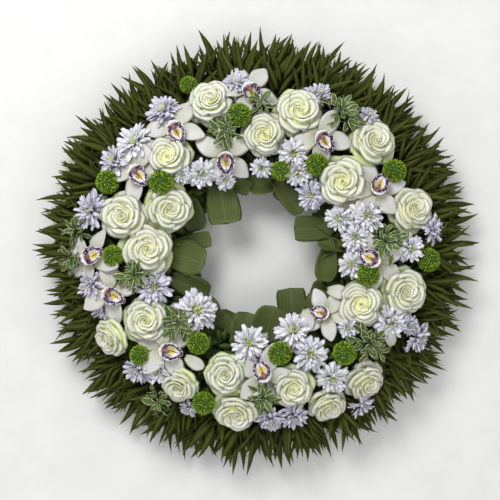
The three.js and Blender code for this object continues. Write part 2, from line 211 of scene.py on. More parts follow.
class Graph:
    """Adds and links nodes in one tree."""

    def __init__(self, tree: bpy.types.NodeTree) -> None:
        """Starts with an empty tree."""
        self.tree = tree
        tree.nodes.clear()

    def add(self, kind: str, *inputs: object, **settings: object) -> bpy.types.Node:
        """Adds a node.

        Args:
            kind: The node's type.
            inputs: Values or sockets for its inputs in order; None leaves one alone.
            settings: Properties of the node.

        Returns:
            The node.
        """
        node = self.tree.nodes.new(kind)
        for name, value in settings.items():
            setattr(node, name, value)
        for socket, value in zip([s for s in node.inputs if s.enabled], inputs):
            self.feed(socket, value)
        return node

    def feed(self, socket: bpy.types.NodeSocket, value: object) -> None:
        """Links a socket to another, or sets its value."""
        if isinstance(value, bpy.types.NodeSocket):
            self.tree.links.new(value, socket)
        elif value is not None:
            if isinstance(value, tuple) and socket.type == "RGBA":
                value = (*value, 1.0)
            socket.default_value = value

    def fill(self, node: bpy.types.Node, values: dict[str, object]) -> bpy.types.Node:
        """Feeds a node's inputs by name and returns the node."""
        for name, value in values.items():
            self.feed(self.pick(node.inputs, name), value)
        return node

    def pick(self, sockets: Iterable[bpy.types.NodeSocket], name: str) -> bpy.types.NodeSocket:
        """The socket of a name that is in use."""
        return next(socket for socket in sockets if socket.enabled and socket.name == name)

    def math(self, operation: str, *inputs: object, clamp: bool = False) -> bpy.types.NodeSocket:
        """A math node's result."""
        return self.add("ShaderNodeMath", *inputs, operation=operation, use_clamp=clamp).outputs[0]

    def mix(self, factor: object, first: object, second: object) -> bpy.types.NodeSocket:
        """A colour mix's result."""
        node = self.add("ShaderNodeMix", data_type="RGBA")
        return self.pick(self.fill(node, {"Factor": factor, "A": first, "B": second}).outputs, "Result")

    def step(self, value: object, start: object, end: object) -> bpy.types.NodeSocket:
        """A smooth step from 0 at start to 1 at end."""
        return self.add("ShaderNodeMapRange", value, start, end, 0.0, 1.0,
                        interpolation_type="SMOOTHSTEP").outputs[0]

    def from_middle(self, across: object) -> bpy.types.NodeSocket:
        """Distance from the middle of a blade, 0 to 1, where across runs from 0 to 1 over its width."""
        return self.math("ABSOLUTE", self.math("MULTIPLY_ADD", across, 2.0, -1.0))

    def mask(self, *steps: tuple) -> bpy.types.NodeSocket:
        """Product of smooth steps.

        Args:
            steps: For each its value, start, end and whether it falls instead of rising.

        Returns:
            The mask.
        """
        mask: object = 1.0
        for value, start, end, falling in steps:
            step = self.step(value, start, end)
            if falling:
                step = self.math("SUBTRACT", 1.0, step)
            mask = self.math("MULTIPLY", mask, step)
        return mask

    def finish(self, colour: object, height: object, bump: float, bump_depth: float,
               others: dict[str, object]) -> None:
        """Ends a material's tree with a bumped Principled shader.

        Args:
            colour: Its colour.
            height: What the bump follows.
            bump: Strength of the bump.
            bump_depth: Height of the bump in metres.
            others: The shader's other inputs by name.
        """
        relief = self.add("ShaderNodeBump")
        self.fill(relief, {"Strength": bump, "Distance": bump_depth, "Height": height})
        shader = self.add("ShaderNodeBsdfPrincipled")
        self.fill(shader, {"Base Color": colour, "Normal": relief.outputs[0], **others})
        self.fill(self.add("ShaderNodeOutputMaterial"), {"Surface": shader.outputs[0]})


def add_sockets(tree: bpy.types.NodeTree, way: str, sockets: dict[str, tuple]) -> dict[str, str]:
    """Adds named sockets to a tree's interface.

    Args:
        tree: The tree.
        way: INPUT or OUTPUT.
        sockets: Kind of value, and default if any, by name.

    Returns:
        Each socket's identifier by its name.
    """
    found = {}
    for name, (kind, *default) in sockets.items():
        item = tree.interface.new_socket(name=name, in_out=way, socket_type=f"NodeSocket{kind}")
        if default:
            item.default_value = default[0]
        found[name] = item.identifier
    return found


def new_material(name: str) -> tuple[bpy.types.Material, Graph]:
    """Starts a material.

    Args:
        name: Name of its finish.

    Returns:
        The material and its empty node tree.
    """
    material = bpy.data.materials.new(f"{name}_finish")
    material.use_nodes = True
    return material, Graph(material.node_tree)


# Finishes -------------------------------------------------------------------------------------------


class Finish(Protocol):
    """Whatever can make a material."""

    def build(self) -> bpy.types.Material:
        """Makes the material."""


def build_blade_shading() -> bpy.types.NodeTree:
    """Shader group for petals and leaves: colour along and across a blade, mottling, veins and fibres.

    Its inputs carry the names of BladeFinish's fields.

    Returns:
        The group, which reads the blade's own UV map and its tone attribute.
    """
    tree = bpy.data.node_groups.new("blade_shading", "ShaderNodeTree")
    colours = ("base", "body", "tip", "edge", "tone", "rib")
    numbers = ("base_end", "tip_start", "edge_width", "edge_ragged", "tone_share", "rib_width", "rib_share",
               "veins", "vein_share", "vein_slant", "mottle_size", "mottle_share")
    add_sockets(tree, "INPUT", {name: ("Color",) for name in colours})
    add_sockets(tree, "INPUT", {name: ("Float",) for name in numbers})
    add_sockets(tree, "OUTPUT", {"colour": ("Color",), "height": ("Float",), "roughness_shift": ("Float",)})
    graph = Graph(tree)
    given = graph.add("NodeGroupInput").outputs
    across, along, _ = graph.add("ShaderNodeSeparateXYZ", graph.add(
        "ShaderNodeUVMap", uv_map="blade").outputs[0]).outputs
    tone = graph.add("ShaderNodeAttribute", attribute_name="tone").outputs["Fac"]
    place = graph.add("ShaderNodeTexCoord").outputs["Object"]
    mottle = graph.add("ShaderNodeTexNoise", place, given["mottle_size"], 3.0, 0.55).outputs[0]
    uneven = graph.math("SUBTRACT", mottle, 0.5)
    aside = graph.from_middle(across)

    colour = graph.mix(graph.step(along, 0.0, given["base_end"]), given["base"], given["body"])
    tip = graph.step(graph.math("MULTIPLY_ADD", mottle, 0.12, along), given["tip_start"], 1.05)
    colour = graph.mix(tip, colour, given["tip"])
    toned = graph.math("MULTIPLY", tone, given["tone_share"], clamp=True)
    colour = graph.mix(toned, colour, given["tone"])

    inner = graph.math("SUBTRACT", 1.0, given["edge_width"])
    ragged = graph.math("MULTIPLY", uneven, given["edge_ragged"])
    edge = graph.step(graph.math("ADD", aside, ragged), inner, graph.math("ADD", inner, 0.1))
    has_edge = graph.math("GREATER_THAN", given["edge_width"], 0.001)
    colour = graph.mix(graph.math("MULTIPLY", edge, has_edge), colour, given["edge"])

    rib = graph.math("SUBTRACT", 1.0, graph.step(aside, 0.0, given["rib_width"]))
    colour = graph.mix(graph.math("MULTIPLY", rib, given["rib_share"]), colour, given["rib"])

    slanted = graph.math("ADD", graph.math("MULTIPLY", aside, given["veins"]),
                         graph.math("MULTIPLY", along, given["vein_slant"]))
    wobble = graph.math("MULTIPLY", graph.math("MULTIPLY_ADD", mottle, 1.2, slanted), math.pi)
    vein = graph.math("POWER", graph.math("ABSOLUTE", graph.math("COSINE", wobble)), 6.0)
    colour = graph.mix(graph.math("MULTIPLY", vein, given["vein_share"]), colour, given["rib"])
    shade = graph.math("MULTIPLY", graph.math("SUBTRACT", 0.62, mottle), given["mottle_share"], clamp=True)
    colour = graph.mix(shade, colour, given["tone"])
    height = graph.math("MULTIPLY_ADD", vein, -0.6, graph.math("MULTIPLY", mottle, 0.5))
    graph.fill(graph.add("NodeGroupOutput"), {
        "colour": colour,
        "height": graph.math("MULTIPLY_ADD", rib, -0.8, height),
        "roughness_shift": graph.math("MULTIPLY", uneven, 0.3),
    })
    return tree


BLADE_SHADING = build_blade_shading()


@dataclass(frozen=True)
class BladeFinish:
    """Finish of a petal or a leaf, in linear colours along the blade from base to tip."""

    name: str
    base: Colour
    body: Colour
    tip: Colour
    tone: Colour
    edge: Colour = (0.9, 0.9, 0.8)
    rib: Colour = (0.5, 0.6, 0.3)
    base_end: float = 0.35
    tip_start: float = 0.8
    edge_width: float = 0.0
    edge_ragged: float = 0.2
    tone_share: float = 0.4
    rib_width: float = 0.05
    rib_share: float = 0.0
    veins: float = 7.0
    vein_share: float = 0.05
    vein_slant: float = 0.0
    mottle_size: float = 90.0
    mottle_share: float = 0.3
    roughness: float = 0.55
    specular: float = 0.35
    subsurface: float = 0.0
    sheen: float = 0.0
    bump: float = 0.25
    bump_depth: float = 0.4 * MM

    @cache
    def build(self) -> bpy.types.Material:
        """Makes the material, once.

        Returns:
            The material.
        """
        material, graph = new_material(self.name)
        group = graph.add("ShaderNodeGroup", node_tree=BLADE_SHADING)
        for entry in fields(self):
            if entry.name in group.inputs:
                graph.feed(group.inputs[entry.name], getattr(self, entry.name))
        colour, height, shift = group.outputs
        graph.finish(colour, height, self.bump, self.bump_depth, {
            "Roughness": graph.math("ADD", shift, self.roughness, clamp=True),
            "Specular IOR Level": self.specular, "Subsurface Weight": self.subsurface,
            "Subsurface Radius": (1.0, 0.9, 0.6), "Subsurface Scale": 4 * MM,
            "Sheen Weight": self.sheen, "Sheen Roughness": 0.5,
        })
        return material


@dataclass(frozen=True)
class GrainFinish:
    """Finish of a made or fibrous surface: two colours mixed by noise, with pores or grain in the bump."""

    name: str
    low: Colour
    high: Colour
    size: float
    roughness: float
    pores: float = 0.0
    bump: float = 0.3
    bump_depth: float = 0.5 * MM

    @cache
    def build(self) -> bpy.types.Material:
        """Makes the material, once.

        Returns:
            The material.
        """
        material, graph = new_material(self.name)
        place = graph.add("ShaderNodeTexCoord").outputs["Object"]
        noise = graph.add("ShaderNodeTexNoise", place, self.size, 4.0, 0.6).outputs[0]
        cells = graph.add("ShaderNodeTexVoronoi", place, self.size * 3).outputs["Distance"]
        graph.finish(graph.mix(graph.step(noise, 0.3, 0.7), self.low, self.high),
                     graph.mix(self.pores, noise, cells), self.bump, self.bump_depth,
                     {"Roughness": graph.math("MULTIPLY_ADD", noise, 0.25, self.roughness - 0.12)})
        return material


@dataclass(frozen=True)
class LipFinish:
    """White orchid lip: a dark purple band inside its rim, a yellow keel and a flushed throat."""

    white: Colour = (0.8, 0.76, 0.8)
    flush: Colour = (0.15, 0.06, 0.05)
    yellow: Colour = (0.66, 0.55, 0.07)
    crimson: Colour = (0.1, 0.004, 0.03)
    purple: Colour = (0.04, 0.004, 0.055)

    @cache
    def build(self) -> bpy.types.Material:
        """Makes the material, once.

        Returns:
            The material, which reads the lip's UV map: V runs from the front lobe to the throat.
        """
        material, graph = new_material("orchid_lip")
        across, along, _ = graph.add("ShaderNodeSeparateXYZ", graph.add(
            "ShaderNodeUVMap", uv_map="blade").outputs[0]).outputs
        aside, ahead = graph.from_middle(across), graph.from_middle(along)
        inside = [graph.math("SUBTRACT", 1.0, graph.math("POWER", share, 2.0)) for share in (aside, ahead)]
        rounded = graph.math("SUBTRACT", 1.0, graph.math("MULTIPLY", *inside))
        place = graph.add("ShaderNodeTexCoord").outputs["Object"]
        speckle = graph.add("ShaderNodeTexVoronoi", place, 420.0).outputs["Distance"]
        blur = graph.add("ShaderNodeTexNoise", place, 160.0, 2.0, 0.5).outputs[0]
        rim = graph.math("MULTIPLY_ADD", graph.math("SUBTRACT", blur, 0.5), 0.3, graph.math("SQRT", rounded))
        throat = graph.mask((along, 0.66, 0.8, False), (rim, 0.6, 0.8, True))
        keel = graph.mask((rim, 0.34, 0.52, True), (along, 0.24, 0.36, False), (along, 0.7, 0.86, True))
        line = graph.mask((aside, 0.03, 0.1, True), (along, 0.1, 0.2, False), (along, 0.6, 0.7, True))
        band = graph.mask((rim, 0.66, 0.73, False), (rim, 0.95, 0.99, True), (along, 0.86, 0.96, True),
                          (speckle, 0.62, 0.8, True))
        colour = self.white
        for mask, paint in ((throat, self.flush), (keel, self.yellow), (line, self.crimson),
                            (band, self.purple)):
            colour = graph.mix(mask, colour, paint)
        graph.finish(colour, graph.math("ADD", blur, keel), 0.4, 0.4 * MM, {
            "Roughness": 0.38, "Specular IOR Level": 0.35, "Subsurface Weight": 0.08,
            "Subsurface Scale": 2 * MM,
        })
        return material


# Green base to cream rim: partly the petals' own colour, partly painted shade in the depth between petals.
# That painted shade is a light yellow-green which stands in for light shining through the petals.
ROSE_PETAL = BladeFinish(
    "rose_petal", base=(0.64, 0.68, 0.32), body=(0.82, 0.83, 0.56), tip=(0.88, 0.885, 0.71),
    tone=(0.75, 0.78, 0.48), rib=(0.76, 0.78, 0.6), base_end=0.72, tip_start=0.74, tone_share=0.25, veins=9,
    vein_share=0.03, mottle_share=0.12, roughness=0.5, specular=0.15, subsurface=0.6, sheen=0.05)
# The heart's greener base is partly its own colour, partly painted shade in the recess round it.
HEART_PETAL = replace(
    ROSE_PETAL, name="rose_heart_petal", base=(0.64, 0.67, 0.19), body=(0.9, 0.91, 0.64),
    tip=(0.96, 0.96, 0.86), tone=(0.72, 0.74, 0.36), rib=(0.7, 0.7, 0.4), base_end=0.82, tip_start=0.8,
    tone_share=0.3, veins=7, mottle_share=0.15)
GUARD_PETAL = replace(
    ROSE_PETAL, name="rose_guard_petal", base=(0.34, 0.46, 0.1), body=(0.7, 0.76, 0.42),
    tip=(0.84, 0.86, 0.62), tone=(0.42, 0.56, 0.16), rib=(0.6, 0.68, 0.3), base_end=0.7, tip_start=0.75,
    tone_share=0.45, vein_share=0.05, mottle_share=0.4, specular=0.25, subsurface=0.1, sheen=0.1)
# The core's pale yellow-green is painted light that brightens the shaded depth of the heart.
ROSE_CORE = GrainFinish("rose_core", low=(0.66, 0.66, 0.32), high=(0.82, 0.82, 0.5), size=60, roughness=0.6)
ROSE_SEPAL = BladeFinish("rose_sepal", base=(0.08, 0.14, 0.03), body=(0.12, 0.2, 0.05),
                         tip=(0.14, 0.22, 0.06), tone=(0.08, 0.14, 0.03))
RAY = BladeFinish(
    "chrysanthemum_ray", base=(0.66, 0.72, 0.4), body=(0.92, 0.93, 0.92), tip=(0.72, 0.69, 0.9),
    tone=(0.74, 0.71, 0.89), rib=(0.66, 0.62, 0.8), base_end=0.45, tip_start=0.72, tone_share=0.35, veins=2,
    vein_share=0.16, mottle_share=0.1, roughness=0.5, specular=0.2, subsurface=0.3, bump=0.4)
# Real lilac for heads called lilac; on the outer heads its darker colour is painted shade.
LILAC_AND_PAINTED_SHADE_RAY = replace(
    RAY, name="chrysanthemum_lilac_and_painted_shade_ray", base=(0.68, 0.68, 0.66), body=(0.77, 0.76, 0.83),
    tip=(0.66, 0.63, 0.8), tone=(0.62, 0.59, 0.77), rib=(0.5, 0.46, 0.68), base_end=0.35, tip_start=0.75,
    tone_share=0.4, vein_share=0.2, mottle_share=0.15, subsurface=0.2)
DISC = BladeFinish("chrysanthemum_disc", base=(0.4, 0.5, 0.12), body=(0.76, 0.8, 0.34), tip=(0.9, 0.92, 0.6),
                   tone=(0.66, 0.74, 0.26), roughness=0.6)
SANTINI_FLORET = BladeFinish(
    "santini_floret", base=(0.04, 0.11, 0.004), body=(0.25, 0.4, 0.02), tip=(0.5, 0.62, 0.07),
    tone=(0.16, 0.31, 0.012), base_end=0.55, tip_start=0.6, tone_share=0.7, roughness=0.6, specular=0.2,
    subsurface=0.03)
SANTINI_CORE = GrainFinish("santini_core", low=(0.03, 0.08, 0.008), high=(0.07, 0.16, 0.015), size=300,
                           roughness=0.8)
TEPAL = BladeFinish(
    "orchid_tepal", base=(0.46, 0.48, 0.3), body=(0.6, 0.59, 0.58), tip=(0.68, 0.65, 0.7),
    tone=(0.5, 0.51, 0.42), rib=(0.5, 0.46, 0.5), base_end=0.5, tone_share=0.35, rib_width=0.08,
    rib_share=0.25, veins=6, vein_share=0.12, mottle_size=60, mottle_share=0.4, roughness=0.42,
    specular=0.3, subsurface=0.12, bump=0.35)
COLUMN_SKIN = GrainFinish("orchid_column", low=(0.1, 0.035, 0.03), high=(0.34, 0.17, 0.12), size=160,
                          roughness=0.4)
LIP = LipFinish()
OLIVE_LEAF = BladeFinish(
    "olive_leaf", base=(0.028, 0.035, 0.006), body=(0.064, 0.077, 0.013), tip=(0.105, 0.12, 0.023),
    tone=(0.036, 0.044, 0.008), rib=(0.12, 0.135, 0.03), tone_share=0.7, rib_width=0.16, rib_share=0.25,
    veins=5, vein_share=0.06, mottle_size=45, mottle_share=0.5, roughness=0.75, specular=0.08)
BROAD_LEAF = BladeFinish(
    "broad_leaf", base=(0.08, 0.11, 0.03), body=(0.078, 0.104, 0.026), tip=(0.12, 0.15, 0.045),
    tone=(0.046, 0.063, 0.017), edge=(0.15, 0.2, 0.06), rib=(0.16, 0.2, 0.08), edge_width=0.06,
    edge_ragged=0.05, tone_share=0.75, rib_width=0.04, rib_share=0.5, veins=5, vein_share=0.22,
    vein_slant=3, mottle_size=34, mottle_share=0.5, roughness=0.5, specular=0.15)
FILLER_LEAF = BladeFinish(
    "filler_leaf", base=(0.05, 0.075, 0.012), body=(0.08, 0.12, 0.02), tip=(0.13, 0.18, 0.035),
    tone=(0.05, 0.08, 0.014), rib=(0.12, 0.17, 0.05), tone_share=0.6, rib_width=0.12, rib_share=0.4,
    roughness=0.6, specular=0.12)
VARIEGATED_LEAF = BladeFinish(
    "variegated_leaf", base=(0.05, 0.09, 0.018), body=(0.066, 0.12, 0.02), tip=(0.13, 0.2, 0.045),
    tone=(0.038, 0.07, 0.012), edge=(0.66, 0.72, 0.4), rib=(0.24, 0.34, 0.1), edge_width=0.27,
    edge_ragged=0.35, tone_share=0.6, rib_width=0.08, rib_share=0.4, mottle_size=260, mottle_share=0.6,
    roughness=0.45)
GREEN_STEM = GrainFinish("green_stem", low=(0.06, 0.12, 0.03), high=(0.12, 0.2, 0.06), size=150,
                         roughness=0.55)
TWIG = GrainFinish("twig", low=(0.05, 0.045, 0.02), high=(0.1, 0.1, 0.04), size=200, roughness=0.7)
FOAM = GrainFinish("wet_foam", low=(0.02, 0.05, 0.016), high=(0.04, 0.09, 0.03), size=260, roughness=0.9,
                   pores=0.6, bump=0.8, bump_depth=1.2 * MM)
TRAY = GrainFinish("tray_plastic", low=(0.012, 0.035, 0.017), high=(0.018, 0.05, 0.024), size=900,
                   roughness=0.42, bump=0.15, bump_depth=0.1 * MM)
FLOOR = GrainFinish("studio_floor", low=(0.72, 0.72, 0.7), high=(0.76, 0.76, 0.74), size=14, roughness=0.75,
                    bump=0.05)


# Blades: thin closed petals and leaves --------------------------------------------------------------


def mesh_from(name: str, points: Sequence[Sequence[float]], faces: Sequence[Sequence[int]], finish: Finish,
              smooth: bool = True) -> bpy.types.Mesh:
    """A mesh in one finish.

    Args:
        name: Its name.
        points: Its points.
        faces: Its faces, by the numbers of their points.
        finish: Its finish.
        smooth: Whether it is shaded smooth.

    Returns:
        The mesh.
    """
    mesh = bpy.data.meshes.new(name)
    mesh.from_pydata(points, [], faces)
    mesh.polygons.foreach_set("use_smooth", np.full(len(faces), smooth))
    mesh.materials.append(finish.build())
    return mesh


def shell_mesh(name: str, grid: np.ndarray, thickness: float, finish: Finish) -> bpy.types.Mesh:
    """Closes a sheet of points into a thin lens with a face on both sides.

    Args:
        name: Name of the mesh.
        grid: Points by row along the blade and column across it.
        thickness: Thickness at the middle; the rim is sharp.
        finish: Its finish.

    Returns:
        The mesh, with a UV map named blade: U across and V along.
    """
    rows, columns = grid.shape[:2]
    normal = np.cross(np.gradient(grid, axis=0), np.gradient(grid, axis=1))
    normal /= np.maximum(np.linalg.norm(normal, axis=2, keepdims=True), 1e-12)
    inner = grid[1:-1, 1:-1] + normal[1:-1, 1:-1] * thickness
    top = np.arange(rows * columns).reshape(rows, columns)
    under = top.copy()
    under[1:-1, 1:-1] = top.size + np.arange(inner[..., 0].size).reshape(rows - 2, columns - 2)
    faces = []
    spots = []
    for row in range(rows - 1):
        for column in range(columns - 1):
            corners = ((row, column), (row + 1, column), (row + 1, column + 1), (row, column + 1))
            for sheet, turned in ((top, corners[::-1]), (under, corners)):
                faces.append([sheet[corner] for corner in turned])
                spots += turned
    points = np.concatenate([grid.reshape(-1, 3), inner.reshape(-1, 3)])
    mesh = mesh_from(name, points.tolist(), faces, finish)
    uv = [(column / (columns - 1), row / (rows - 1)) for row, column in spots]
    mesh.uv_layers.new(name="blade").data.foreach_set("uv", np.array(uv, dtype=np.float32).ravel())
    return mesh


@dataclass(frozen=True)
class Blade:
    """A petal or leaf that grows along +X and faces +Z.

    Angles are in degrees. The tip is about 0.5 for a round end and over 1 for a sharp one. Base width,
    widest, ruffle and sway are shares of the blade's own sizes, and a tip below blunt has its rows drawn
    toward it by the share crowding.
    """

    length: float
    width: float
    base_width: float = 0.15
    widest: float = 0.5
    tip: float = 1.0
    rise: float = 0.0
    bend: float = 0.0
    cup: float = 0.0
    keel: float = 0.0
    twist: float = 0.0
    ruffle: float = 0.0
    waves: float = 2.0
    wave_slant: float = 1.3
    sway: float = 0.0
    thickness: float = 0.6 * MM
    rows: int = 7
    columns: int = 5
    blunt: float = 0.8
    crowding: float = 0.6
    end_width: float = 0.015

    def half_width(self, along: np.ndarray) -> np.ndarray:
        """The blade's outline.

        Args:
            along: Shares of the length.

        Returns:
            Half the width at each of them.
        """
        swell = np.sin(np.clip(along / self.widest, 0, 1) * math.pi / 2)
        rising = self.base_width + (1 - self.base_width) * swell
        past = np.clip((along - self.widest) / (1 - self.widest), 0, 1)
        falling = np.clip(np.cos(past * math.pi / 2), 0, 1) ** self.tip
        return self.width / 2 * np.minimum(rising, 1) * falling

    def build(self, finish: Finish) -> bpy.types.Mesh:
        """Makes the blade.

        Args:
            finish: Its finish.

        Returns:
            The mesh.
        """
        along = np.linspace(0, 1, self.rows + 1)
        if self.tip < self.blunt:
            along = np.sin(along * math.pi / 2) * self.crowding + along * (1 - self.crowding)
        angle = np.radians(self.rise + self.bend * along)
        step = np.diff(along, prepend=0) * self.length
        x = np.cumsum(np.cos(angle) * step)
        z = np.cumsum(np.sin(angle) * step)
        half = self.half_width(along)
        half[-1] = max(half[-1], self.width * self.end_width)
        s, t = np.meshgrid(np.linspace(-1, 1, self.columns), along)
        y = s * half[:, None]
        lift = self.cup * s ** 2 * half[:, None] + self.keel * np.abs(s) * half[:, None]
        lift += self.ruffle * np.sin(t * self.waves * math.tau + s * self.wave_slant) * s ** 2 * self.width
        turn = np.radians(self.twist) * t
        dy, dz = y * np.cos(turn) - lift * np.sin(turn), y * np.sin(turn) + lift * np.cos(turn)
        grid = np.stack([x[:, None] - dz * np.sin(angle)[:, None], dy + self.sway * t ** 2 * self.length,
                         z[:, None] + dz * np.cos(angle)[:, None]], axis=2)
        return shell_mesh("blade", grid, self.thickness, finish)


@dataclass(frozen=True)
class WrappedPetal:
    """A rose petal wrapped about +Z, in shares of the head's width and of the petal's own length.

    Slopes and lip are in degrees: the slope eases from the first to the second as far as shoulder, and
    the lip then rolls back over the petal's end.
    """

    foot: float
    level: float
    length: float
    half_width: float
    slopes: tuple[float, float]
    lip: float
    lip_start: float = 0.8
    lip_curve: float = 0.14
    shoulder: float = 0.65
    skew: float = 0.03
    corner: float = 0.1
    point: float = 0.02
    point_width: float = 0.25
    wave: float = 0.0
    foot_width: float = 0.3
    full_width_at: float = 0.62
    rounding: float = 0.28
    rounding_start: float = 0.8
    thickness: float = 0.007
    least_radius: float = 0.03
    most_sweep: float = 1.7
    rows: int = 9
    columns: int = 9

    def build(self, finish: Finish) -> bpy.types.Mesh:
        """Makes the petal, whose middle faces +X.

        Args:
            finish: Its finish.

        Returns:
            The mesh.
        """
        s, t = np.meshgrid(np.linspace(-1, 1, self.columns), np.linspace(0, 1, self.rows + 1))
        crest = self.point * np.exp(-(s / self.point_width) ** 2) - self.corner * np.abs(s) ** 3
        step = self.length * (1 + crest) / self.rows
        low, high = self.slopes
        slope = low + (high - low) * ease(t, end=self.shoulder)
        slope = np.radians(slope - self.lip * ease(t, self.lip_start - self.lip_curve * s ** 2))
        r = self.foot + (np.cumsum(np.cos(slope), axis=0) - np.cos(slope[0])) * step
        z = self.level + (np.cumsum(np.sin(slope), axis=0) - np.sin(slope[0])) * step
        r += self.skew * s * np.clip(t * 2, 0, 1) + self.wave * np.sin(s * 4 + 2 * t) * t ** 2
        swell = np.sin(np.clip(t / self.full_width_at, 0, 1) * math.pi / 2)
        widen = self.foot_width + (1 - self.foot_width) * swell
        rounded = np.clip((t - self.rounding_start) / (1 - self.rounding_start), 0, 1)
        widen *= 1 - self.rounding * rounded ** 2
        sweep = self.half_width * widen / np.maximum(r, self.least_radius)
        sweep = np.clip(sweep, 0, self.most_sweep) * s
        grid = np.stack([r * np.cos(sweep), r * np.sin(sweep), z], axis=2)
        return shell_mesh("petal", grid, self.thickness, finish)


# Geometry Nodes: blades set out on points -----------------------------------------------------------


def build_setting_tree() -> tuple[bpy.types.NodeTree, dict[str, str]]:
    """Geometry Nodes tree that sets a blade on every point.

    Points carry turn (Euler angles), size (a vector) and kind (which blade of the collection). Each
    blade's tone, a random number from 0 to 1, is stored for its finish.

    Returns:
        The tree, and each input's identifier by its name.
    """
    tree = bpy.data.node_groups.new("set_blades", "GeometryNodeTree")
    names = add_sockets(tree, "INPUT", {
        "Points": ("Geometry",), "Blades": ("Collection",), "Size Spread": ("Float", 0.08),
        "Turn Spread": ("Float", 0.06), "Seed": ("Int", 1), "Finish": ("Material",),
    })
    add_sockets(tree, "OUTPUT", {"Blades": ("Geometry",)})
    graph = Graph(tree)
    given = graph.add("NodeGroupInput").outputs

    def attribute(name: str, kind: str) -> bpy.types.NodeSocket:
        """A named attribute's value."""
        node = graph.fill(graph.add("GeometryNodeInputNamedAttribute", data_type=kind), {"Name": name})
        return graph.pick(node.outputs, "Attribute")

    def spread(kind: str, low: object, high: object, shift: float) -> bpy.types.NodeSocket:
        """A random value for each point.

        Args:
            kind: Its data type.
            low: Its least value.
            high: Its greatest value.
            shift: What is added to the tree's seed.

        Returns:
            The value.
        """
        node = graph.add("FunctionNodeRandomValue", data_type=kind)
        graph.fill(node, {"Min": low, "Max": high, "Seed": graph.math("ADD", given["Seed"], shift)})
        return graph.pick(node.outputs, "Value")

    def scaled(vector: bpy.types.NodeSocket, factor: bpy.types.NodeSocket) -> bpy.types.NodeSocket:
        """A vector times a number."""
        node = graph.add("ShaderNodeVectorMath", vector, operation="SCALE")
        return graph.fill(node, {"Scale": factor}).outputs[0]

    points = graph.fill(graph.add("GeometryNodeMeshToPoints"), {"Mesh": given["Points"]})
    blades = graph.fill(graph.add("GeometryNodeCollectionInfo", transform_space="ORIGINAL"), {
        "Collection": given["Blades"], "Separate Children": True, "Reset Children": True})
    grown = graph.math("MULTIPLY_ADD", spread("FLOAT", -1.0, 1.0, 0.0), given["Size Spread"], 1.0)
    shake = scaled(spread("FLOAT_VECTOR", (-1.0,) * 3, (1.0,) * 3, 7.0), given["Turn Spread"])
    turn, stray = [graph.add("FunctionNodeEulerToRotation", angles).outputs[0]
                   for angles in (attribute("turn", "FLOAT_VECTOR"), shake)]
    placed = graph.fill(graph.add("GeometryNodeInstanceOnPoints"), {
        "Points": points.outputs[0], "Instance": blades.outputs[0], "Pick Instance": True,
        "Instance Index": attribute("kind", "INT"),
        "Rotation": graph.add("FunctionNodeRotateRotation", turn, stray, rotation_space="LOCAL").outputs[0],
        "Scale": scaled(attribute("size", "FLOAT_VECTOR"), grown),
    })
    toned = graph.fill(graph.add("GeometryNodeStoreNamedAttribute", data_type="FLOAT", domain="INSTANCE"), {
        "Geometry": placed.outputs[0], "Name": "tone", "Value": spread("FLOAT", 0.0, 1.0, 13.0)})
    real = graph.add("GeometryNodeRealizeInstances", toned.outputs[0])
    finished = graph.fill(graph.add("GeometryNodeSetMaterial"), {
        "Geometry": real.outputs[0], "Material": given["Finish"]})
    graph.add("NodeGroupOutput", finished.outputs[0])
    return tree, names


SETTING_TREE, SETTING_INPUTS = build_setting_tree()


@dataclass
class Setting:
    """Points on which blades of a few kinds are set."""

    places: list[tuple[float, ...]] = field(default_factory=list)
    turns: list[tuple[float, ...]] = field(default_factory=list)
    sizes: list[tuple[float, ...]] = field(default_factory=list)
    kinds: list[int] = field(default_factory=list)

    def put(self, place: Sequence[float], turn: Sequence[float], size: float | Sequence[float] = 1.0,
            kind: int = 0) -> None:
        """Adds a point.

        Args:
            place: Where the blade's base lies.
            turn: Its Euler angles in radians.
            size: Its scale, even or by axis.
            kind: Which blade.
        """
        self.places.append(tuple(place))
        self.turns.append(tuple(turn))
        self.sizes.append((size,) * 3 if isinstance(size, (int, float)) else tuple(size))
        self.kinds.append(kind)

    def grow(self, name: str, shapes: Sequence[Blade | WrappedPetal], finish: Finish, seed: int,
             size_spread: float = 0.08, turn_spread: float = 0.06) -> bpy.types.Mesh:
        """Runs the setting tree and returns the blades as a plain mesh.

        Args:
            name: Name of the mesh.
            shapes: The blades that kind picks from.
            finish: Their finish.
            seed: Seed for the random sizes, turns and tones.
            size_spread: Share by which sizes vary.
            turn_spread: Radians by which turns vary.

        Returns:
            The mesh.
        """
        points = bpy.data.meshes.new(name + "_points")
        points.from_pydata(self.places, [], [])
        for key, values in (("turn", self.turns), ("size", self.sizes)):
            layer = points.attributes.new(key, "FLOAT_VECTOR", "POINT")
            layer.data.foreach_set("vector", np.array(values, dtype=np.float32).ravel())
        points.attributes.new("kind", "INT", "POINT").data.foreach_set("value", self.kinds)
        holder = bpy.data.objects.new(name + "_points", points)
        bpy.context.scene.collection.objects.link(holder)
        shelf = bpy.data.collections.new(name + "_blades")
        for index, shape in enumerate(shapes):
            shelf.objects.link(bpy.data.objects.new(f"{name}_blade_{index:02d}", shape.build(finish)))
        modifier = holder.modifiers.new("set_blades", "NODES")
        modifier.node_group = SETTING_TREE
        for key, value in (("Blades", shelf), ("Size Spread", size_spread), ("Turn Spread", turn_spread),
                           ("Seed", seed), ("Finish", finish.build())):
            modifier[SETTING_INPUTS[key]] = value
        graph = bpy.context.evaluated_depsgraph_get()
        result = bpy.data.meshes.new_from_object(holder.evaluated_get(graph), depsgraph=graph)
        result.name = name
        holder.modifiers.clear()
        for spent in (holder, *shelf.objects):
            mesh = spent.data
            bpy.data.objects.remove(spent)
            bpy.data.meshes.remove(mesh)
        bpy.data.collections.remove(shelf)
        return result


# Making and joining meshes --------------------------------------------------------------------------


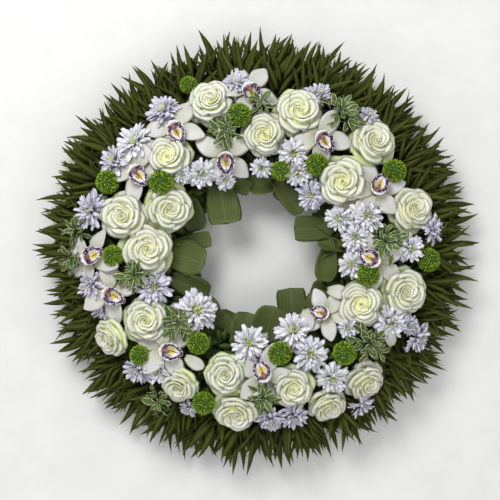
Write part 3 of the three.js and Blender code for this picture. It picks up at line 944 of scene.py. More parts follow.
def sweep_mesh(name: str, path: Sequence[Vector], radii: Sequence[float], finish: Finish,
               sides: int = 8) -> bpy.types.Mesh:
    """A closed round tube along a path.

    Args:
        name: Name of the mesh.
        path: Points along its middle.
        radii: Radius at each point.
        finish: Its finish.
        sides: Sides of its section.

    Returns:
        The mesh.
    """
    steep = abs((path[-1] - path[0]).normalized().z) >= 0.9
    aside = Vector((1, 0, 0)) if steep else Vector((0, 0, 1))
    points = []
    for index, (centre, radius) in enumerate(zip(path, radii)):
        ahead = path[min(index + 1, len(path) - 1)] - path[max(index - 1, 0)]
        one = ahead.cross(aside).normalized()
        other = ahead.cross(one).normalized()
        for corner in range(sides):
            angle = math.tau * corner / sides
            points.append(centre + radius * (one * math.cos(angle) + other * math.sin(angle)))
    faces = [tuple(reversed(range(sides))), tuple(range(len(points) - sides, len(points)))]
    for start in range(0, len(points) - sides, sides):
        for corner in range(sides):
            here, after = start + corner, start + (corner + 1) % sides
            faces.append((here, after, after + sides, here + sides))
    return mesh_from(name, points, faces, finish)


def ball_mesh(name: str, radius: float, finish: Finish, squash: float = 0.9) -> bpy.types.Mesh:
    """A small rounded core that fills a head behind its florets.

    Args:
        name: Name of the mesh.
        radius: Its radius.
        finish: Its finish.
        squash: Its height as a share of its width.

    Returns:
        The mesh.
    """
    steps = 8
    angles = [math.pi * step / steps for step in range(steps + 1)]
    path = [Vector((0, 0, -radius * squash * math.cos(angle))) for angle in angles]
    return sweep_mesh(name, path, [radius * max(math.sin(angle), 0.04) for angle in angles], finish, 12)


def ring_mesh(name: str, profile: Sequence[tuple[float, float]], finish: Finish,
              smooth: bool = True) -> bpy.types.Mesh:
    """A closed profile of radius and height carried round the wreath's axis.

    Args:
        name: Name of the mesh.
        profile: Corners, counterclockwise in radius and height.
        finish: Its finish.
        smooth: Whether it is shaded smooth.

    Returns:
        The mesh.
    """
    sides, count = 160, len(profile)
    points = [polar(reach, math.tau * side / sides, level)
              for side in range(sides) for reach, level in profile]
    faces = []
    for side in range(sides):
        here, there = side * count, (side + 1) % sides * count
        for index in range(count):
            after = (index + 1) % count
            faces.append((here + index, there + index, there + after, here + after))
    return mesh_from(name, points, faces, finish, smooth)


def stem_mesh(name: str, neck: Vector, foot: Vector, radius: float) -> bpy.types.Mesh:
    """A straight stem from a head's neck to its end in the foam."""
    path = [neck.lerp(foot, share) for share in (0, 0.3, 0.65, 1)]
    return sweep_mesh(name + "_stem", path, [radius * share for share in (1.1, 1, 0.95, 0.95)], GREEN_STEM)


def moved(mesh: bpy.types.Mesh, matrix: Matrix) -> bpy.types.Mesh:
    """A mesh after it is moved by a matrix."""
    mesh.transform(matrix)
    return mesh


def settle(mesh: bpy.types.Mesh, low: float = 6 * MM) -> bpy.types.Mesh:
    """Eases every point below a level up from the floor, so that drooping leaves lie on it.

    Args:
        mesh: The leaves, in wreath coordinates.
        low: Level under which points are eased.

    Returns:
        The same mesh.
    """
    points = points_of(mesh)
    level = points[:, 2]
    points[:, 2] = np.where(level < low, low * np.exp(np.minimum((level - low) / low, 0)), level)
    mesh.vertices.foreach_set("co", points.ravel())
    return mesh


def make_piece(name: str, parts: Iterable[bpy.types.Mesh], slot: str,
               nodes: Sequence[str] = ()) -> bpy.types.Object:
    """Joins meshes into one piece that rides on the wreath.

    Args:
        name: Name of the piece.
        parts: Meshes, each already in its place.
        slot: The record's material slot; not used.
        nodes: CAD nodes that it stands for.

    Returns:
        The piece.
    """
    objects = [bpy.data.objects.new(name, mesh) for mesh in parts]
    for part in objects:
        bpy.context.scene.collection.objects.link(part)
    piece = objects[0]
    if len(objects) > 1:
        with bpy.context.temp_override(active_object=piece, selected_editable_objects=objects,
                                       selected_objects=objects):
            bpy.ops.object.join()
    piece.name = piece.data.name = name
    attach(piece, BODY)
    if nodes:
        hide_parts(*nodes)
    LOG.info("%s: %d faces", name, len(piece.data.polygons))
    return piece


@dataclass
class Bloom:
    """A flower head on a stem of its own, which stands for the CAD node of its kind and number."""

    number: int
    kind: ClassVar[str]
    head: ClassVar[str] = "bloom"
    slot: ClassVar[str]
    stem_radius: ClassVar[float]

    @property
    def node(self) -> str:
        """Name of its CAD node."""
        return f"{self.kind}_{self.number:02d}"

    def stand(self, parts: Sequence[bpy.types.Mesh], seat: Matrix, neck: float) -> bpy.types.Object:
        """Adds the stem and joins the flower in place of its CAD node.

        Args:
            parts: The head's meshes, in their places.
            seat: The head's frame.
            neck: Distance of the neck below the head's centre.

        Returns:
            The piece.
        """
        stem = stem_mesh(self.node, seat @ Vector((0, 0, -neck)), RING.foot(self.node), self.stem_radius)
        return make_piece(f"{self.node}_{self.head}", [*parts, stem], self.slot, [self.node])


# Roses ----------------------------------------------------------------------------------------------


class Openness(Enum):
    """How far a rose has opened."""

    HALF = 0.74
    FULL = 1.0
    LOOSE = 1.18

    def slopes(self, low: float, high: float) -> tuple[float, float]:
        """Slopes of a petal's foot and shoulder, leaned out as far as the rose has opened."""
        return 90 - (90 - low) * self.value, 90 - (90 - high) * self.value


@dataclass
class Rose(Bloom):
    """One white rose: a tight heart, whorls of wrapped petals that open outward, sepals and a stem.

    The gap round the heart, the neck, the core's level and how far petals stray up or down are shares
    of the head's width. Green is how likely the outermost petals are to be green, beyond guard_share.
    """

    kind = "rose"
    slot = "rose_petal"
    stem_radius = 2.8 * MM
    width: float
    lean: float = 0.0
    openness: Openness = Openness.FULL
    green: float = 0.3
    gap: float = 0.012
    neck_share: float = 0.34
    heart_whorls: int = 4
    guard_share: float = 0.35
    stray_turn: float = 0.12
    stray_level: float = 0.012
    core_level: float = -0.01
    core_squash: float = 0.45
    sepals: int = 5

    def whorls(self) -> list[tuple[int, WrappedPetal]]:
        """The petal shapes from the heart outward.

        Returns:
            How many petals go round in each whorl, and their shape.
        """
        slopes, gap = self.openness.slopes, self.gap
        return [
            (3, WrappedPetal(0.014, -0.04, 0.26, 0.06, slopes(86, 95), 0, skew=0.014)),
            (3, WrappedPetal(0.034, -0.05, 0.28, 0.09, slopes(85, 91), 4, skew=0.02)),
            (3, WrappedPetal(0.06 + gap, -0.07, 0.31, 0.14, slopes(85, 87), 10, skew=0.026)),
            (4, WrappedPetal(0.09 + gap, -0.09, 0.37, 0.18, slopes(84, 81), 22, skew=0.03)),
            (4, WrappedPetal(0.115 + 0.8 * gap, -0.12, 0.42, 0.24, slopes(80, 73), 40, skew=0.036,
                             wave=0.008)),
            (4, WrappedPetal(0.135 + 0.5 * gap, -0.17, 0.47, 0.31, slopes(71, 64), 60, skew=0.04,
                             wave=0.012)),
            (4, WrappedPetal(0.14, -0.23, 0.5, 0.37, slopes(58, 54), 80, skew=0.044, wave=0.018)),
            (5, WrappedPetal(0.14, -0.3, 0.51, 0.39, slopes(42, 39), 96, skew=0.034, wave=0.024,
                             lip_start=0.72)),
        ]

    def build(self) -> bpy.types.Object:
        """Makes the rose in place of its CAD node.

        Returns:
            The piece.
        """
        rng = random.Random(self.number)
        neck = self.neck_share * self.width
        seat = RING.find_seat(self.node, neck, self.lean, 0.0, GOLDEN_DEGREES * (self.number - 1))
        place = seat @ Matrix.Scale(self.width, 4)
        parts = []
        whorls = self.whorls()
        for index, (count, petal) in enumerate(whorls):
            setting = Setting()
            start = rng.uniform(0, math.tau)
            for turn in range(count):
                angle = start + math.tau * turn / count + stray(rng, self.stray_turn)
                setting.put((0, 0, stray(rng, self.stray_level)), (0, 0, angle))
            finish = HEART_PETAL if index < self.heart_whorls else ROSE_PETAL
            if petal is whorls[-1][1] and rng.random() < self.guard_share + self.green:
                finish = GUARD_PETAL
            parts.append(moved(setting.grow(f"{self.node}_whorl_{index}", [petal], finish,
                                            self.number * 10 + index, 0.04, 0.07), place))
        # Its pale finish is painted light in the shaded heart.
        core = ball_mesh(self.node + "_core", 0.3 + 0.07 * self.openness.value, ROSE_CORE, self.core_squash)
        parts.append(moved(core, place @ Matrix.Translation((0, 0, self.core_level))))
        parts.append(moved(self.calyx_mesh(), place))
        return self.stand(parts, seat, neck)

    def calyx_mesh(self) -> bpy.types.Mesh:
        """The sepals below the petals.

        Returns:
            The mesh, in shares of the head's width.
        """
        setting = Setting()
        for turn in range(self.sepals):
            setting.put((0, 0, -self.neck_share), (0, 0, math.tau * turn / self.sepals))
        sepal = Blade(0.32, 0.09, base_width=0.6, widest=0.25, rise=-10, bend=-55, keel=0.2, thickness=0.01,
                      rows=6, columns=3)
        return setting.grow(self.node + "_sepals", [sepal], ROSE_SEPAL, self.number, 0.1, 0.1)


ROSES = [
    Rose(1, 79 * MM, openness=Openness.LOOSE, gap=0.05),
    Rose(2, 85 * MM),
    Rose(3, 86 * MM, green=0.6),
    Rose(4, 86 * MM),
    Rose(5, 90 * MM, openness=Openness.LOOSE),
    Rose(6, 82 * MM),
    Rose(7, 75 * MM, lean=18, openness=Openness.HALF),
    Rose(8, 80 * MM, openness=Openness.HALF),
    Rose(9, 72 * MM, lean=12, openness=Openness.HALF),
    Rose(10, 82 * MM, lean=10),
    Rose(11, 78 * MM, gap=0.055),
    Rose(12, 87 * MM, gap=0.035),
    Rose(13, 85 * MM, green=0.5),
    Rose(14, 92 * MM, gap=0.045),
    Rose(15, 80 * MM, openness=Openness.LOOSE),
    Rose(16, 84 * MM, gap=0.06),
    Rose(17, 84 * MM),
    Rose(18, 74 * MM, gap=0.04),
    Rose(19, 68 * MM, lean=10),
    Rose(20, 74 * MM, lean=10),
]


# Orchids --------------------------------------------------------------------------------------------


@dataclass(frozen=True)
class Lip:
    """An orchid's lip: an oval cup with raised sides whose front lobe rolls down, frilled at the rim.

    Sizes are in millimetres, starts are shares of the way from the middle to the rim, and the keel's
    place is a share of the half width and half length.
    """

    half_width: float = 14.5
    half_length: float = 19.5
    depth: float = 15.0
    front_dip: float = 0.75
    roll: float = 16.0
    roll_start: float = 0.55
    keel_height: float = 1.6
    keel_aside: float = 0.12
    keel_width: float = 0.07
    frill: float = 4.5
    frill_start: float = 0.7
    frills: int = 11
    flare: float = 0.4
    flare_start: float = 0.75
    taper: float = 0.42
    thickness: float = 1.0
    steps: int = 21

    def build(self, name: str) -> bpy.types.Mesh:
        """Makes the lip, whose front lobe points along -Y.

        Args:
            name: Name of the mesh.

        Returns:
            The mesh.
        """
        side = np.linspace(-1, 1, self.steps)
        v, u = np.meshgrid(side, side, indexing="ij")
        x, y = u * np.sqrt(1 - v ** 2 / 2), v * np.sqrt(1 - u ** 2 / 2)
        out, ahead = np.hypot(x, y), np.clip(-y, 0, 1)
        front = ahead ** 1.5
        level = self.depth * out ** 2.2 * (1 - self.front_dip * front)
        level -= self.roll * front * np.clip(out - self.roll_start, 0, 1) ** 1.3
        keels = np.exp(-((np.abs(x) - self.keel_aside) / self.keel_width) ** 2)
        level += self.keel_height * keels * np.clip(1 - np.abs(y - 0.1) * 1.6, 0, 1)
        waves = np.sin(np.arctan2(y, x) * self.frills + 2 * y)
        level += self.frill * waves * np.clip(out - self.frill_start, 0, 1)
        flare = 1 + self.flare * np.clip(out - self.flare_start, 0, 1)
        taper = 1 - self.taper * ahead ** 1.4
        grid = np.stack([x * self.half_width * flare * taper, y * self.half_length * flare, level], axis=2)
        return shell_mesh(name, grid[:, ::-1] * MM, self.thickness * MM, LIP)


@dataclass
class Orchid(Bloom):
    """One cymbidium bloom: five waxy tepals, a cupped spotted lip and an arching column.

    The lip's bearing is the way it points in the whole wreath, in degrees.
    """

    kind = "orchid"
    slot = "orchid_petal"
    stem_radius = 2.5 * MM
    lip_bearing: float
    size: float = 1.0
    rise: float = 4 * MM
    neck: float = 4 * MM
    tepal_start: float = 3 * MM
    lip_place: tuple[float, float, float] = (0, -13 * MM, 3 * MM)

    def tepal_mesh(self) -> bpy.types.Mesh:
        """Three sepals and two petals about the centre.

        Returns:
            The mesh.
        """
        setting = Setting()
        for kind, bearing, level in ((0, 90, -2), (0, -48, -2), (0, -132, -2), (1, 24, 0), (1, 156, 0)):
            angle = math.radians(bearing)
            setting.put(polar(self.tepal_start, angle, level * MM), (0, 0, angle), 1.0, kind)
        sepal = Blade(56 * MM, 32 * MM, base_width=0.35, tip=0.78, rise=6, bend=-22, cup=0.3, keel=-0.1,
                      ruffle=0.035, thickness=1.2 * MM, rows=12, columns=9)
        petal = Blade(53 * MM, 34 * MM, base_width=0.3, tip=0.74, rise=14, bend=-30, cup=0.2, keel=-0.06,
                      twist=16, ruffle=0.045, thickness=1.1 * MM, rows=12, columns=9)
        return setting.grow(self.node + "_tepals", [sepal, petal], TEPAL, self.number, 0.05, 0.14)

    def column_mesh(self) -> bpy.types.Mesh:
        """The column that arches over the lip's throat and ends in a rounded cap."""
        arch = ((6, -4, 4.6), (4, 5, 4.0), (1, 12, 3.6), (-4, 17, 3.8), (-9, 18.5, 3.2), (-11, 18, 1.2))
        return sweep_mesh(self.node + "_column", [Vector((0, y, z)) * MM for y, z, _ in arch],
                          [radius * MM for _, _, radius in arch], COLUMN_SKIN, 10)

    def build(self) -> bpy.types.Object:
        """Makes the orchid in place of its CAD node.

        Returns:
            The piece.
        """
        foot = RING.foot(self.node)
        spin = self.lip_bearing + 90 - math.degrees(math.atan2(foot.y, foot.x))
        seat = RING.find_seat(self.node, self.neck, 0.0, self.rise, spin)
        place = seat @ Matrix.Scale(self.size, 4)
        lip = moved(Lip().build(self.node + "_lip"), Matrix.Translation(self.lip_place))
        parts = [moved(mesh, place) for mesh in (self.tepal_mesh(), lip, self.column_mesh())]
        return self.stand(parts, seat, self.neck)


ORCHIDS = [Orchid(index + 1, bearing) for index, bearing in enumerate(
    (-62, -50, -85, -60, -50, 60, 150, 165, 115, -15, -30, 25))]
ORCHIDS[7].size = 0.86


# Santini --------------------------------------------------------------------------------------------


@dataclass
class Santini(Bloom):
    """One green button of tight florets on a thin stem.

    The florets cover the share cover of the ball's height, and stand on a core inside it.
    """

    kind = "santini"
    head = "button"
    slot = "santini_floret"
    stem_radius = 1.7 * MM
    width: float
    florets: int = 250
    cover: float = 0.725
    neck_share: float = 0.26
    ball_share: float = 0.49
    root_share: float = 0.84
    core_share: float = 0.86
    rise: float = 8 * MM

    def build(self) -> bpy.types.Object:
        """Makes the button in place of its CAD node.

        Returns:
            The piece.
        """
        rng = random.Random(300 + self.number)
        setting = Setting()
        radius = self.width * self.ball_share
        for index in range(self.florets):
            up = 1 - 2 * self.cover * (index + 0.5) / self.florets
            out = math.sqrt(1 - up * up)
            way, down = polar(out, index * GOLDEN_ANGLE, up), polar(up, index * GOLDEN_ANGLE, -out)
            roll = Euler((rng.uniform(*ANY_ANGLE), 0, 0)).to_quaternion()
            turn = (way * 0.85 + down * 0.4).to_track_quat("X", "Z") @ roll
            setting.put(way * radius * self.root_share, turn.to_euler(), self.width)
        floret = Blade(0.15, 0.075, base_width=0.6, widest=0.6, tip=0.7, rise=40, bend=-70, cup=0.6,
                       thickness=0.012, rows=3, columns=3)
        neck = self.neck_share * self.width
        place = RING.find_seat(self.node, neck, 0.0, self.rise, GOLDEN_DEGREES * self.number)
        florets = setting.grow(self.node + "_florets", [floret], SANTINI_FLORET, self.number, 0.15, 0.25)
        core = ball_mesh(self.node + "_core", radius * self.core_share, SANTINI_CORE)
        return self.stand([moved(florets, place), moved(core, place)], place, neck)


SANTINI = [Santini(index + 1, width * MM) for index, width in enumerate(
    (30, 40, 40, 42, 36, 37, 35, 38, 34, 39, 40, 39, 39, 40, 40))]


# Chrysanthemums -------------------------------------------------------------------------------------


@dataclass(frozen=True)
class RayRow:
    """One row of ray florets; lengths are shares of the head's width and the rise is in degrees."""

    count: int
    reach: float
    rise: float
    level: float
    start: float


RAY_ROWS = (
    RayRow(22, 0.43, -12, -0.075, 0.08),
    RayRow(22, 0.41, 6, -0.05, 0.08),
    RayRow(20, 0.37, 23, -0.02, 0.085),
    RayRow(18, 0.31, 40, 0.0, 0.085),
    RayRow(15, 0.24, 56, 0.015, 0.075),
    RayRow(12, 0.17, 70, 0.025, 0.06),
)
RAY_SHAPES = (
    Blade(1.0, 0.27, base_width=0.35, widest=0.76, tip=0.5, rise=8, bend=-26, cup=0.6, thickness=0.03,
          rows=5, columns=4),
    Blade(1.0, 0.25, base_width=0.35, widest=0.78, tip=0.5, rise=-12, bend=50, cup=1.0, twist=24,
          thickness=0.03, rows=5, columns=4),
    Blade(0.92, 0.28, base_width=0.35, widest=0.76, tip=0.5, rise=14, bend=-56, cup=0.3, twist=-20,
          thickness=0.03, rows=5, columns=4),
)
DISC_BUD = Blade(1.0, 0.3, base_width=0.7, widest=0.7, tip=0.6, cup=0.8, thickness=0.1, rows=3, columns=3)


@dataclass(frozen=True)
class Daisy:
    """One chrysanthemum head on a spray: bearing in degrees, reach, width and rise in millimetres.

    A head past lean_start leans outward by lean_rate degrees a millimetre, and one past
    shade_start gets the darker lilac finish even if it isn't called lilac, as painted shade for
    the outer heads, which lie low in dimmer light.
    """

    bearing: float
    reach: float
    width: float
    lilac: bool = False
    lean: float = 0.0
    rise: float = 6.0
    lean_start: float = 262.0
    lean_rate: float = 0.7
    shade_start: float = 284.0
    stray_turn: float = 0.16
    stray_tilt: float = 20.0
    stray_roll: float = 0.5
    ray_sizes: Span = (0.72, 1.08)
    disc_florets: int = 30
    disc_share: float = 0.085
    disc_size: float = 0.14

    def seat(self, spin: float) -> Matrix:
        """Frame of the head."""
        lean = self.lean + max(0.0, self.reach - self.lean_start) * self.lean_rate
        return RING.seat(self.bearing, self.reach * MM, lean, self.rise * MM, spin)

    def meshes(self, name: str, seed: int) -> list[bpy.types.Mesh]:
        """Makes rows of ray florets round a small disc.

        Args:
            name: Start of the meshes' names.
            seed: Seed for the head's irregularities.

        Returns:
            The meshes, about the head's own frame.
        """
        rng = random.Random(seed)
        width = self.width * MM
        rays = Setting()
        for row in RAY_ROWS:
            first = rng.uniform(*ANY_ANGLE)
            for turn in range(row.count):
                angle = first + math.tau * turn / row.count + stray(rng, self.stray_turn)
                tilt = math.radians(row.rise + stray(rng, self.stray_tilt))
                size = width * row.reach * rng.uniform(*self.ray_sizes)
                rays.put(polar(row.start * width, angle, row.level * width),
                         (stray(rng, self.stray_roll), -tilt, angle), size, rng.randrange(len(RAY_SHAPES)))
        disc = Setting()
        for index in range(self.disc_florets):
            out = self.disc_share * math.sqrt(index / self.disc_florets) * width
            angle = index * GOLDEN_ANGLE
            disc.put(polar(out, angle), (0, -math.radians(86 - 500 * out), angle), width * self.disc_size)
        # Outer heads take the darker lilac finish as painted shade for their dimmer light.
        finish = LILAC_AND_PAINTED_SHADE_RAY if self.lilac or self.reach > self.shade_start else RAY
        return [rays.grow(name + "_rays", RAY_SHAPES, finish, seed, 0.06, 0.08),
                disc.grow(name + "_disc", [DISC_BUD], DISC, seed, 0.2, 0.1)]


@dataclass
class Spray:
    """A branched chrysanthemum stem with a head at the end of each branch.

    The first sprays stand for CAD nodes, and the rest are added between them.
    """

    number: int
    daisies: tuple[Daisy, ...]
    cad_sprays: int = 6
    fork: float = 66 * MM
    foot: float = 20 * MM
    neck_share: float = 0.12
    stem_radius: float = 2.3 * MM
    branch_radii: tuple[float, ...] = (1.9 * MM, 1.8 * MM, 1.6 * MM, 2.2 * MM)

    def build(self) -> bpy.types.Object:
        """Makes the spray.

        Returns:
            The piece.
        """
        name = f"chrysanthemum_{self.number:02d}"
        nodes = [f"chrysanthemum_spray_{self.number:02d}"] if self.number <= self.cad_sprays else []
        bearing = sum(daisy.bearing for daisy in self.daisies) / len(self.daisies)
        reach = sum(daisy.reach for daisy in self.daisies) / len(self.daisies) * MM
        core = RING.core(bearing)
        outward = (RING.seat(bearing, reach).translation - core).normalized()
        fork = core + outward * self.fork
        foot = RING.foot(nodes[0]) if nodes else core + outward * self.foot
        parts = [stem_mesh(name, fork, foot, self.stem_radius)]
        for index, daisy in enumerate(self.daisies):
            place = daisy.seat(GOLDEN_DEGREES * index)
            neck = place @ Vector((0, 0, -self.neck_share * daisy.width * MM))
            branch = [fork, core + outward * self.fork * 1.02, neck.lerp(core, 0.12), neck]
            parts.append(sweep_mesh(f"{name}_branch_{index}", branch, self.branch_radii, GREEN_STEM))
            heads = daisy.meshes(f"{name}_{index}", self.number * 10 + index)
            parts += [moved(mesh, place) for mesh in heads]
        return make_piece(name, parts, "chrysanthemum_ray", nodes)


SPRAYS = [Spray(index + 1, daisies) for index, daisies in enumerate((
    (Daisy(123.5, 290, 75), Daisy(138, 281, 80), Daisy(148, 290, 70)),
    (Daisy(125, 166, 60), Daisy(113.5, 138, 45), Daisy(134, 185, 40)),
    (Daisy(69, 183, 62), Daisy(62, 156, 60), Daisy(86, 147, 45)),
    (Daisy(45, 140, 65, lilac=True), Daisy(21.5, 157, 60), Daisy(18, 203, 72), Daisy(8, 176, 60)),
    (Daisy(295, 155, 78), Daisy(298, 203, 70), Daisy(301, 256, 66)),
    (Daisy(332, 262, 72), Daisy(332, 312, 68, rise=14), Daisy(320, 209, 45),
     Daisy(334, 290, 46, lean=-12, rise=10)),
    (Daisy(192, 292, 66), Daisy(200, 292, 60, rise=-4)),
    (Daisy(199.6, 189, 75, lilac=True), Daisy(225, 150, 85)),
    (Daisy(225, 290, 65), Daisy(231, 268, 52)),
    (Daisy(166, 294, 80),),
    (Daisy(97, 291, 60),),
    (Daisy(68, 292, 60), Daisy(50, 300, 45, rise=12)),
    (Daisy(7, 304, 60, rise=12), Daisy(1, 267, 60)),
    (Daisy(352, 170, 60),),
    (Daisy(275, 292, 65), Daisy(283, 294, 60)),
    (Daisy(266, 163, 75),),
    (Daisy(304.5, 315, 62, rise=16),),
    (Daisy(247, 296, 40),),
))]


# Foliage --------------------------------------------------------------------------------------------


@dataclass
class Tuft:
    """A sprig of small variegated leaves standing between the flowers.

    Its leaves fill an oval of the given width and length in millimetres, turned by slant in degrees.
    """

    number: int
    bearing: float
    reach: float
    width: float
    length: float
    leaves: int = 32
    slant: float = 0.0
    rise: float = 12.0
    twigs: int = 5
    twig_angle: float = 1.26
    spread: float = 0.36
    sizes: Span = (0.62, 1.1)
    foot: float = 34 * MM

    def build(self) -> bpy.types.Object:
        """Makes the sprig.

        Returns:
            The piece.
        """
        rng = random.Random(100 + self.number)
        name = f"pittosporum_{self.number:02d}"
        place = RING.seat(self.bearing, self.reach * MM, 0, self.rise * MM, self.slant)
        setting = Setting()
        for index in range(self.leaves):
            step, twig = divmod(index, self.twigs)
            share = (step + rng.uniform(0.3, 0.9)) / (self.leaves / self.twigs)
            outward = self.twig_angle * twig + stray(rng, 0.25)
            x = self.spread * self.length * MM * share * math.cos(outward)
            y = self.spread * self.width * MM * share * math.sin(outward)
            tilt = math.radians(46 - 44 * share + stray(rng, 18))
            aside = (0.9 if step % 2 else -0.9) * (1 - 0.4 * share)
            angle = outward + aside + stray(rng, 0.3)
            level = (stray(rng, 3) - 5 * share) * MM
            setting.put((x, y, level), (stray(rng, 0.6), -tilt, angle), rng.uniform(*self.sizes),
                        rng.randrange(2))
        shapes = [
            Blade(25 * MM, 11 * MM, base_width=0.12, widest=0.55, tip=0.75, rise=4, bend=-24, cup=0.15,
                  keel=0.12, ruffle=0.06, thickness=0.5 * MM, columns=7),
            Blade(20 * MM, 9 * MM, base_width=0.12, tip=0.75, rise=10, bend=-34, keel=0.2, ruffle=0.09,
                  thickness=0.5 * MM, columns=7),
        ]
        leaves = setting.grow(name + "_leaves", shapes, VARIEGATED_LEAF, self.number, 0.1, 0.15)
        core, head = RING.core(self.bearing), place.translation
        foot = core + (head - core).normalized() * self.foot
        twig = sweep_mesh(name + "_twig", [head, head.lerp(foot, 0.5), foot], [1.2 * MM] * 3, TWIG, 6)
        return make_piece(name, [moved(leaves, place), twig], "broad_leaf")


TUFTS = [
    Tuft(1, 104, 216, 50, 50),
    Tuft(2, 88, 258, 30, 40, leaves=14),
    Tuft(3, 173, 312, 40, 50),
    Tuft(4, 182, 319, 40, 50),
    Tuft(5, 191, 213, 55, 55),
    Tuft(6, 223, 185, 50, 50),
    Tuft(7, 237, 309, 34, 72, leaves=24, slant=33),
    Tuft(8, 273, 253, 45, 45),
    Tuft(9, 58, 283, 60, 80, leaves=44, slant=90),
    Tuft(10, 4, 225, 70, 55, leaves=36),
    Tuft(11, 321, 252, 65, 80, leaves=44),
]


@dataclass
class OuterCollar:
    """Layers of leafy twigs that fan out under the flowers and hide the tray.

    Each layer gives its level and the start of its twigs in millimetres, and their slope in degrees.
    A twig's length is in millimetres, its leaves stand off it by angles in degrees, and the leaf at its
    end by only the share end_turn of that. Sizes and widths are scales.
    """

    twigs: int = 64
    leaves: int = 10
    layers: tuple[tuple[float, float, float], ...] = (
        (34, 262, -1), (42, 266, 4), (50, 258, 8), (56, 246, 12))
    stem_length: float = 66.0
    lengths: Span = (54, 74)
    angles: Span = (16, 40)
    sizes: Span = (0.78, 1.06)
    widths: Span = (0.8, 1.15)
    end_turn: float = 0.1

    def build(self) -> bpy.types.Object:
        """Makes the collar in place of its four CAD nodes.

        Returns:
            The piece.
        """
        rng = random.Random(5)
        setting = Setting()
        for layer, (level, start, rise) in enumerate(self.layers):
            splay = 0.16 + 0.05 * layer
            for twig in range(self.twigs):
                bearing = math.tau * (twig + 0.5 * (layer % 2)) / self.twigs + stray(rng, 0.05)
                root = polar(start, bearing, level + stray(rng, 4))
                self.add_twig(setting, rng, root, bearing + stray(rng, splay), rise + stray(rng, 5))
        straight = Blade(76 * MM, 11.5 * MM, base_width=0.2, widest=0.4, rise=6, bend=-20, keel=0.14,
                         sway=0.05, thickness=0.7 * MM, columns=3)
        curved = replace(straight, length=72 * MM, width=10.5 * MM, tip=1.1, rise=12, bend=-36, keel=0.16,
                         sway=0.16, twist=24)
        turned = replace(straight, length=68 * MM, width=12.5 * MM, widest=0.42, tip=0.9, rise=2, bend=-4,
                         sway=-0.18, twist=-20)
        stem = Blade(70 * MM, 2.4 * MM, base_width=1.0, widest=0.3, tip=0.6, bend=-10, thickness=2 * MM,
                     rows=4, columns=3)
        leaves = setting.grow("outer_leaves", [straight, curved, turned, stem], OLIVE_LEAF, 11, 0.05, 0.06)
        nodes = [f"outer_leaf_garland_{quarter:02d}" for quarter in range(1, 5)]
        return make_piece("outer_leaves", [settle(leaves)], "olive_leaf", nodes)

    def add_twig(self, setting: Setting, rng: random.Random, root: Vector, bearing: float,
                 rise: float) -> None:
        """Adds one twig with leaves on both sides and one at its end.

        Args:
            setting: Where the leaves go.
            rng: Source of its irregularities.
            root: Start of the twig, in millimetres.
            bearing: Direction it points to, in radians.
            rise: Its slope in degrees.
        """
        slope = math.radians(rise)
        length = rng.uniform(*self.lengths)
        way = polar(math.cos(slope), bearing, math.sin(slope))
        setting.put(root * MM, (0, -slope, bearing), (length / self.stem_length, 1.0, 1.0), 3)
        for index in range(self.leaves):
            share = index / (self.leaves - 1)
            side = (1 if index % 2 else -1) * (self.end_turn if share == 1 else 1)
            angle = bearing + side * math.radians(rng.uniform(*self.angles))
            place = root + way * length * (share * 0.95 + 0.02)
            size = rng.uniform(*self.sizes)
            turn = (stray(rng, 0.8), -slope + math.radians(stray(rng, 10)), angle)
            setting.put(place * MM, turn, (size, size * rng.uniform(*self.widths), size), rng.randrange(3))


class LeafShape(Enum):
    """Form of a broad leaf's end, in the order of InnerCollar's shapes."""

    OVAL = 0
    CUPPED = 1
    ROLLED = 2
    SQUARE = 3


@dataclass(frozen=True)
class CollarLeaf:
    """One broad leaf: where its end lies and the way it points, in degrees, with sizes in millimetres."""

    bearing: float
    reach: float
    heading: float
    length: float
    width: float
    shape: LeafShape


COLLAR_LEAVES = (
    CollarLeaf(136, 72, -80, 88, 60, LeafShape.SQUARE),
    CollarLeaf(194, 96, -20, 82, 62, LeafShape.OVAL),
    CollarLeaf(165, 82, 10, 84, 30, LeafShape.SQUARE),
    CollarLeaf(222, 113, -24, 76, 46, LeafShape.OVAL),
    CollarLeaf(247, 122, 48, 70, 52, LeafShape.CUPPED),
    CollarLeaf(262, 110, 80, 72, 54, LeafShape.OVAL),
    CollarLeaf(287, 104, 75, 76, 60, LeafShape.CUPPED),
    CollarLeaf(298, 117, 70, 66, 52, LeafShape.ROLLED),
    CollarLeaf(312, 89, 97, 84, 54, LeafShape.SQUARE),
    CollarLeaf(320, 121, 140, 70, 48, LeafShape.OVAL),
    CollarLeaf(336, 134, -96, 76, 40, LeafShape.CUPPED),
    CollarLeaf(30, 80, 180, 84, 46, LeafShape.SQUARE),
    CollarLeaf(34, 122, 132, 54, 22, LeafShape.ROLLED),
    CollarLeaf(9, 112, 166, 54, 26, LeafShape.CUPPED),
    CollarLeaf(74, 113, 168, 72, 36, LeafShape.ROLLED),
    CollarLeaf(41, 106, -50, 76, 36, LeafShape.OVAL),
    CollarLeaf(95, 111, -20, 56, 30, LeafShape.SQUARE),
    CollarLeaf(96, 118, 190, 70, 42, LeafShape.CUPPED),
    CollarLeaf(161, 110, -72, 80, 46, LeafShape.OVAL),
    CollarLeaf(346, 119, -150, 64, 36, LeafShape.OVAL),
    CollarLeaf(60, 112, -156, 66, 38, LeafShape.CUPPED),
    CollarLeaf(118, 104, -58, 80, 48, LeafShape.OVAL),
    CollarLeaf(207, 108, 8, 74, 50, LeafShape.ROLLED),
    CollarLeaf(178, 116, 16, 70, 46, LeafShape.CUPPED),
    CollarLeaf(236, 118, 20, 70, 50, LeafShape.ROLLED),
    CollarLeaf(275, 112, 96, 70, 50, LeafShape.ROLLED),
)


